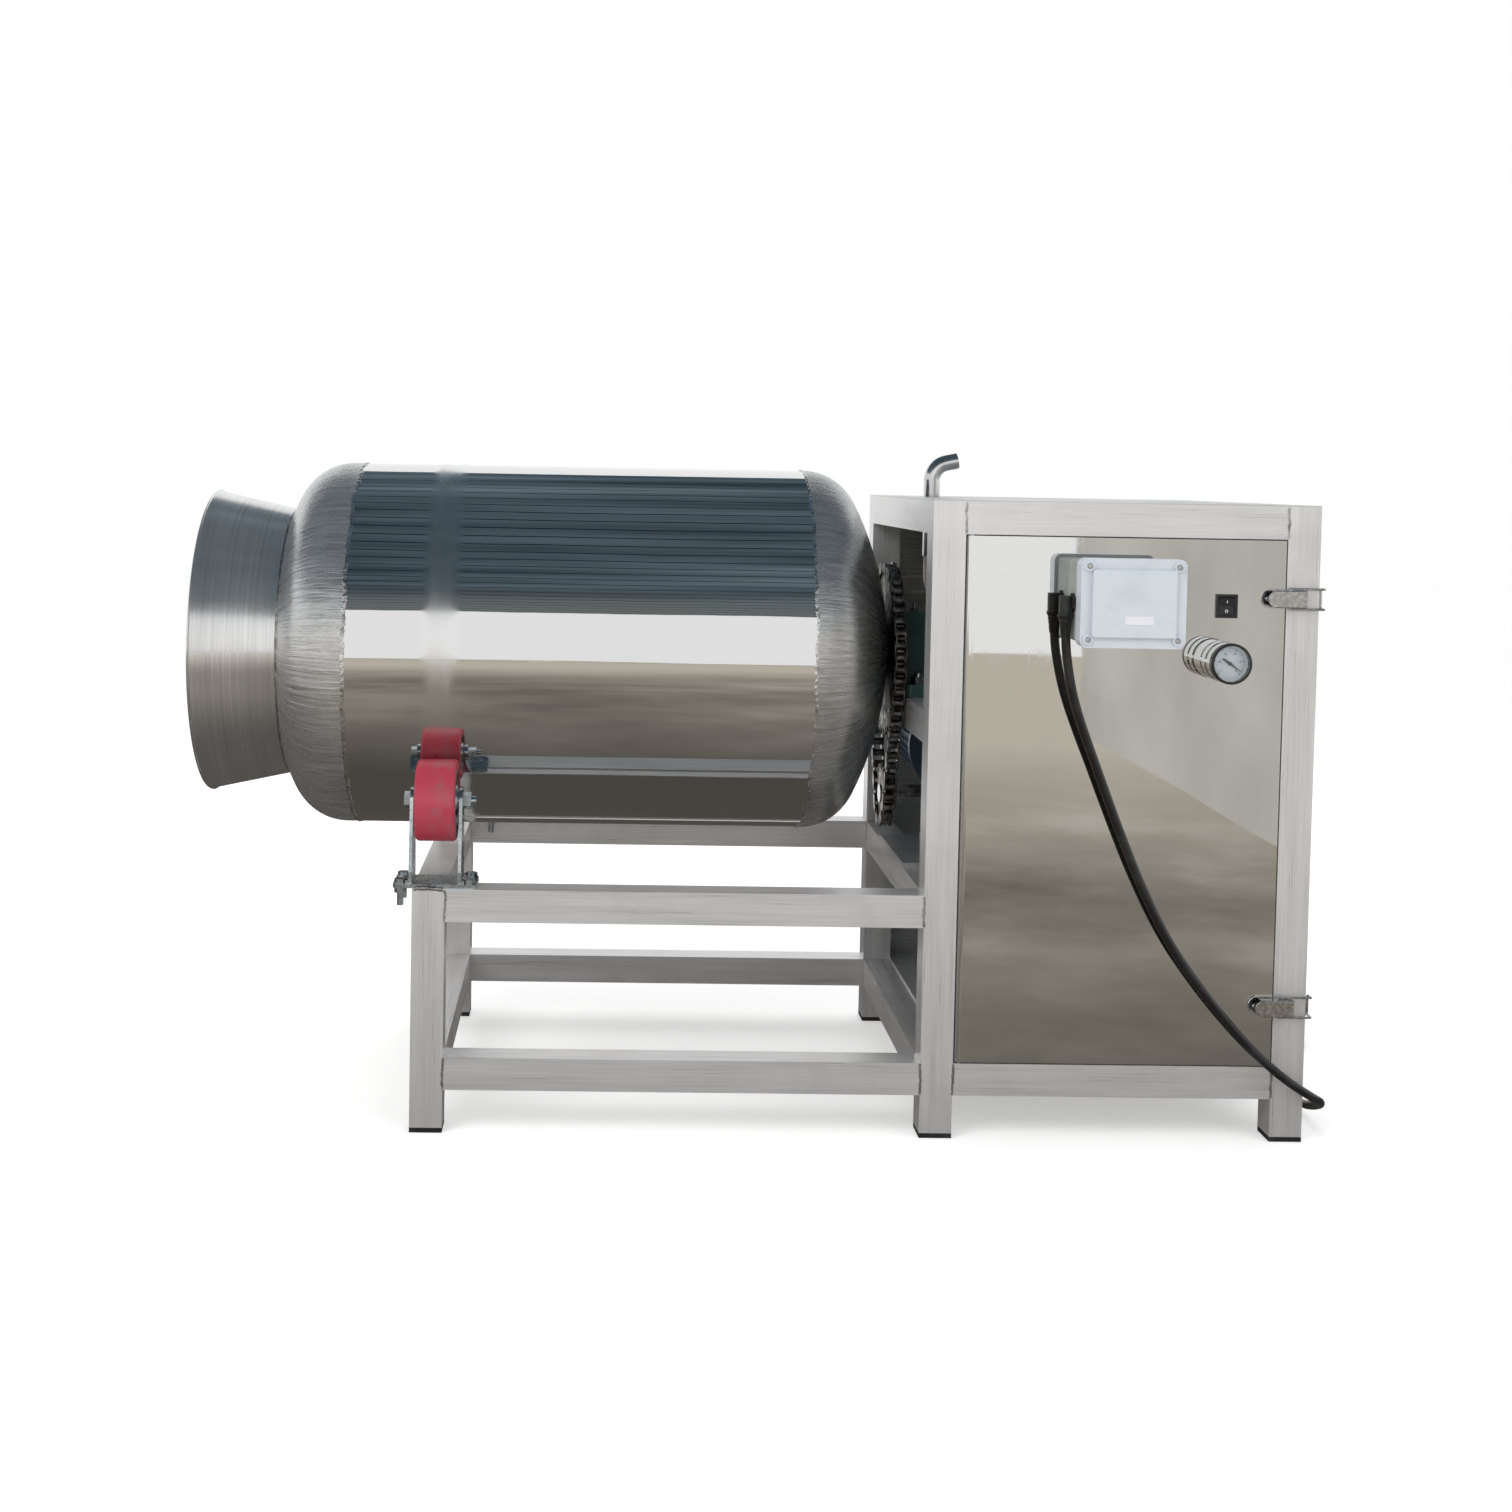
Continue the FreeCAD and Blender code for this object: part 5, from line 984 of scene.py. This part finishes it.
class TUMBLER_OT_switch(bpy.types.Operator):
    """Rocker switch with its two marks"""

    bl_idname = "tumbler.switch"
    bl_label = "Rocker switch"

    def execute(self, context):
        gloss = moulded("switch_plastic", (0.013, 0.013, 0.015), 0.2, 0.00003)
        matt = moulded("rocker_plastic", (0.02, 0.02, 0.024), 0.32, 0.00004)
        dress(gloss, "switch_bezel")
        dress(matt, "switch_rocker")
        centre = middle("switch_rocker")
        pivot = Vector((centre.x, face_y, centre.z))
        lean = Matrix.Rotation(math.radians(8.0), 4, "X")
        print_white = flat_print("switch_print", (0.78, 0.78, 0.78))
        bar, ring = Shape(), Shape()

        def on_face(u, v, rise):
            """A point on the rocker's face, v up from its middle."""
            depth = -(1.6 + abs(v) * 1.6 / 10.6)
            return pivot + lean.to_3x3() @ Vector((u, depth - rise, v)) * MM

        bar.rings([[on_face(u, v, rise) for u, v in ((-0.5, 4.2), (0.5, 4.2), (0.5, 7.4), (-0.5, 7.4))]
                   for rise in (-0.05, 0.12)])
        bar.made("on_mark", "rocker", print_white, "black_plastic", smooth=False)
        loops = []
        for rise in (-0.05, 0.12):
            for reach in (1.9, 1.15):
                loops.append([on_face(reach * math.cos(a), -5.8 + reach * math.sin(a), rise)
                              for a in (math.tau * k / 28 for k in range(28))])
        ring.rings([loops[0], loops[2], loops[3], loops[1]], closed=True)
        ring.made("off_mark", "rocker", print_white, "black_plastic", smooth=False)
        return {"FINISHED"}


class TUMBLER_OT_gauge(bpy.types.Operator):
    """Vacuum gauge: scale, numbers, needle and lens"""

    bl_idname = "tumbler.gauge"
    bl_label = "Vacuum gauge"

    def execute(self, context):
        dress(polished_sheet("gauge_steel", tone=(0.66, 0.66, 0.66), waviness=0.0002), "gauge_case")
        dress(moulded("ring_enamel", (0.018, 0.018, 0.02), 0.25), "gauge_bezel")
        dress(flat_print("dial_enamel", (0.78, 0.80, 0.85), 0.3), "gauge_dial")
        dress(flat_print("needle_paint", (0.02, 0.02, 0.02), 0.3), "gauge_needle")
        low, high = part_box("gauge_dial")
        centre = (low + high) / 2
        dial_y, radius = low.y, (high.x - low.x) / 2
        ink = flat_print("scale_ink", (0.03, 0.03, 0.035))
        marks = Shape()
        steps = 50
        for k in range(steps + 1):
            a = math.radians(225 - 270 * k / steps)
            out = Vector((math.cos(a), 0, math.sin(a)))
            across = Vector((-math.sin(a), 0, math.cos(a)))
            long_mark, mid_mark = k % 10 == 0, k % 5 == 0
            inner = radius * (0.74 if long_mark else 0.79 if mid_mark else 0.83)
            half = 0.34 * MM if long_mark else 0.18 * MM
            outer = radius * 0.9
            rings = []
            for y in (dial_y + 0.02 * MM, dial_y - 0.1 * MM):
                rings.append([centre + Y * (y - centre.y) + out * r + across * w
                              for r, w in ((inner, -half), (outer, -half), (outer, half), (inner, half))])
            marks.rings(rings)
        marks.made("gauge_marks", "door", ink, "dial_white", smooth=False)
        for k, text in enumerate(("-1", "-.8", "-.6", "-.4", "-.2", "0")):
            a = math.radians(225 - 270 * k / 5)
            self.number(text, centre + Vector((math.cos(a), 0, math.sin(a))) * radius * 0.58, dial_y, ink)
        self.lens(centre, radius)
        return {"FINISHED"}

    def number(self, text, at, dial_y, ink):
        curve = bpy.data.curves.new("figure", "FONT")
        curve.body, curve.size, curve.extrude = text, 4.4 * MM, 0.06 * MM
        curve.align_x, curve.align_y = "CENTER", "CENTER"
        made = placed("figure", curve)
        made.rotation_euler = (math.pi / 2, 0, 0)
        made.location = (at.x, dial_y - 0.05 * MM, at.z)
        bpy.context.view_layer.update()
        data = bpy.data.meshes.new_from_object(made.evaluated_get(bpy.context.evaluated_depsgraph_get()))
        data.transform(made.matrix_world)
        bpy.data.objects.remove(made)
        data.materials.clear()
        data.materials.append(ink.material)
        solid = placed("gauge_figure", data)
        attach(solid, "door")

    def lens(self, centre, radius):
        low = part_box("gauge_bezel")[0]
        glass = clear("gauge_lens", roughness=0.01)
        at = Vector((centre.x, low.y + 1.6 * MM, centre.z))
        Shape().turned(at, -Y, [(radius - 0.1 * MM, -1.2 * MM), (radius - 0.1 * MM, -0.2 * MM), (radius * 0.8, 0.0),
                                (radius * 0.4, 0.25 * MM), (radius * 0.02, 0.3 * MM)], sides=64).made(
            "gauge_glass", "door", glass, "clear_cover")


class TUMBLER_OT_lid(bpy.types.Operator):
    """Clear lid in the drum's mouth, its seal and handle"""

    bl_idname = "tumbler.lid"
    bl_label = "Mouth lid"

    def execute(self, context):
        dress(clear("lid_acrylic", (0.90, 0.96, 0.96), 0.04), "lid_plate")
        dress(moulded("seal_silicone", (0.70, 0.69, 0.64), 0.5, 0.00004), "lid_seal")
        dress(plain_steel("handle_steel", 0.62, 0.15, 90.0), "lid_handle")
        return {"FINISHED"}


# ---------------- panel and start

STEPS = (TUMBLER_OT_stage, TUMBLER_OT_cable, TUMBLER_OT_frame, TUMBLER_OT_drum, TUMBLER_OT_casters,
         TUMBLER_OT_drive, TUMBLER_OT_door, TUMBLER_OT_box, TUMBLER_OT_switch, TUMBLER_OT_gauge, TUMBLER_OT_lid)


class TUMBLER_PT_panel(bpy.types.Panel):
    """Sizes, colours and one button for each group of pieces"""

    bl_label = "Meat Vacuum Tumbler"
    bl_idname = "TUMBLER_PT_panel"
    bl_space_type = "VIEW_3D"
    bl_region_type = "UI"
    bl_category = "Tumbler"

    def draw(self, context):
        column = self.layout.column()
        for settings in (context.scene.tumbler_sizes, context.scene.tumbler_colours):
            for name in settings.__annotations__:
                column.prop(settings, name)
        for step in STEPS:
            column.operator(step.bl_idname, text=step.bl_label)


CLASSES = (TumblerSizes, TumblerColours, *STEPS, TUMBLER_PT_panel)


def register():
    for made in CLASSES:
        bpy.utils.register_class(made)
    bpy.types.Scene.tumbler_sizes = bpy.props.PointerProperty(type=TumblerSizes)
    bpy.types.Scene.tumbler_colours = bpy.props.PointerProperty(type=TumblerColours)


def unregister():
    del bpy.types.Scene.tumbler_colours
    del bpy.types.Scene.tumbler_sizes
    for made in reversed(CLASSES):
        bpy.utils.unregister_class(made)


def main():
    register()
    for step in STEPS:
        group, name = step.bl_idname.split(".")
        getattr(getattr(bpy.ops, group), name)()


if __name__ == "__main__":
    main()
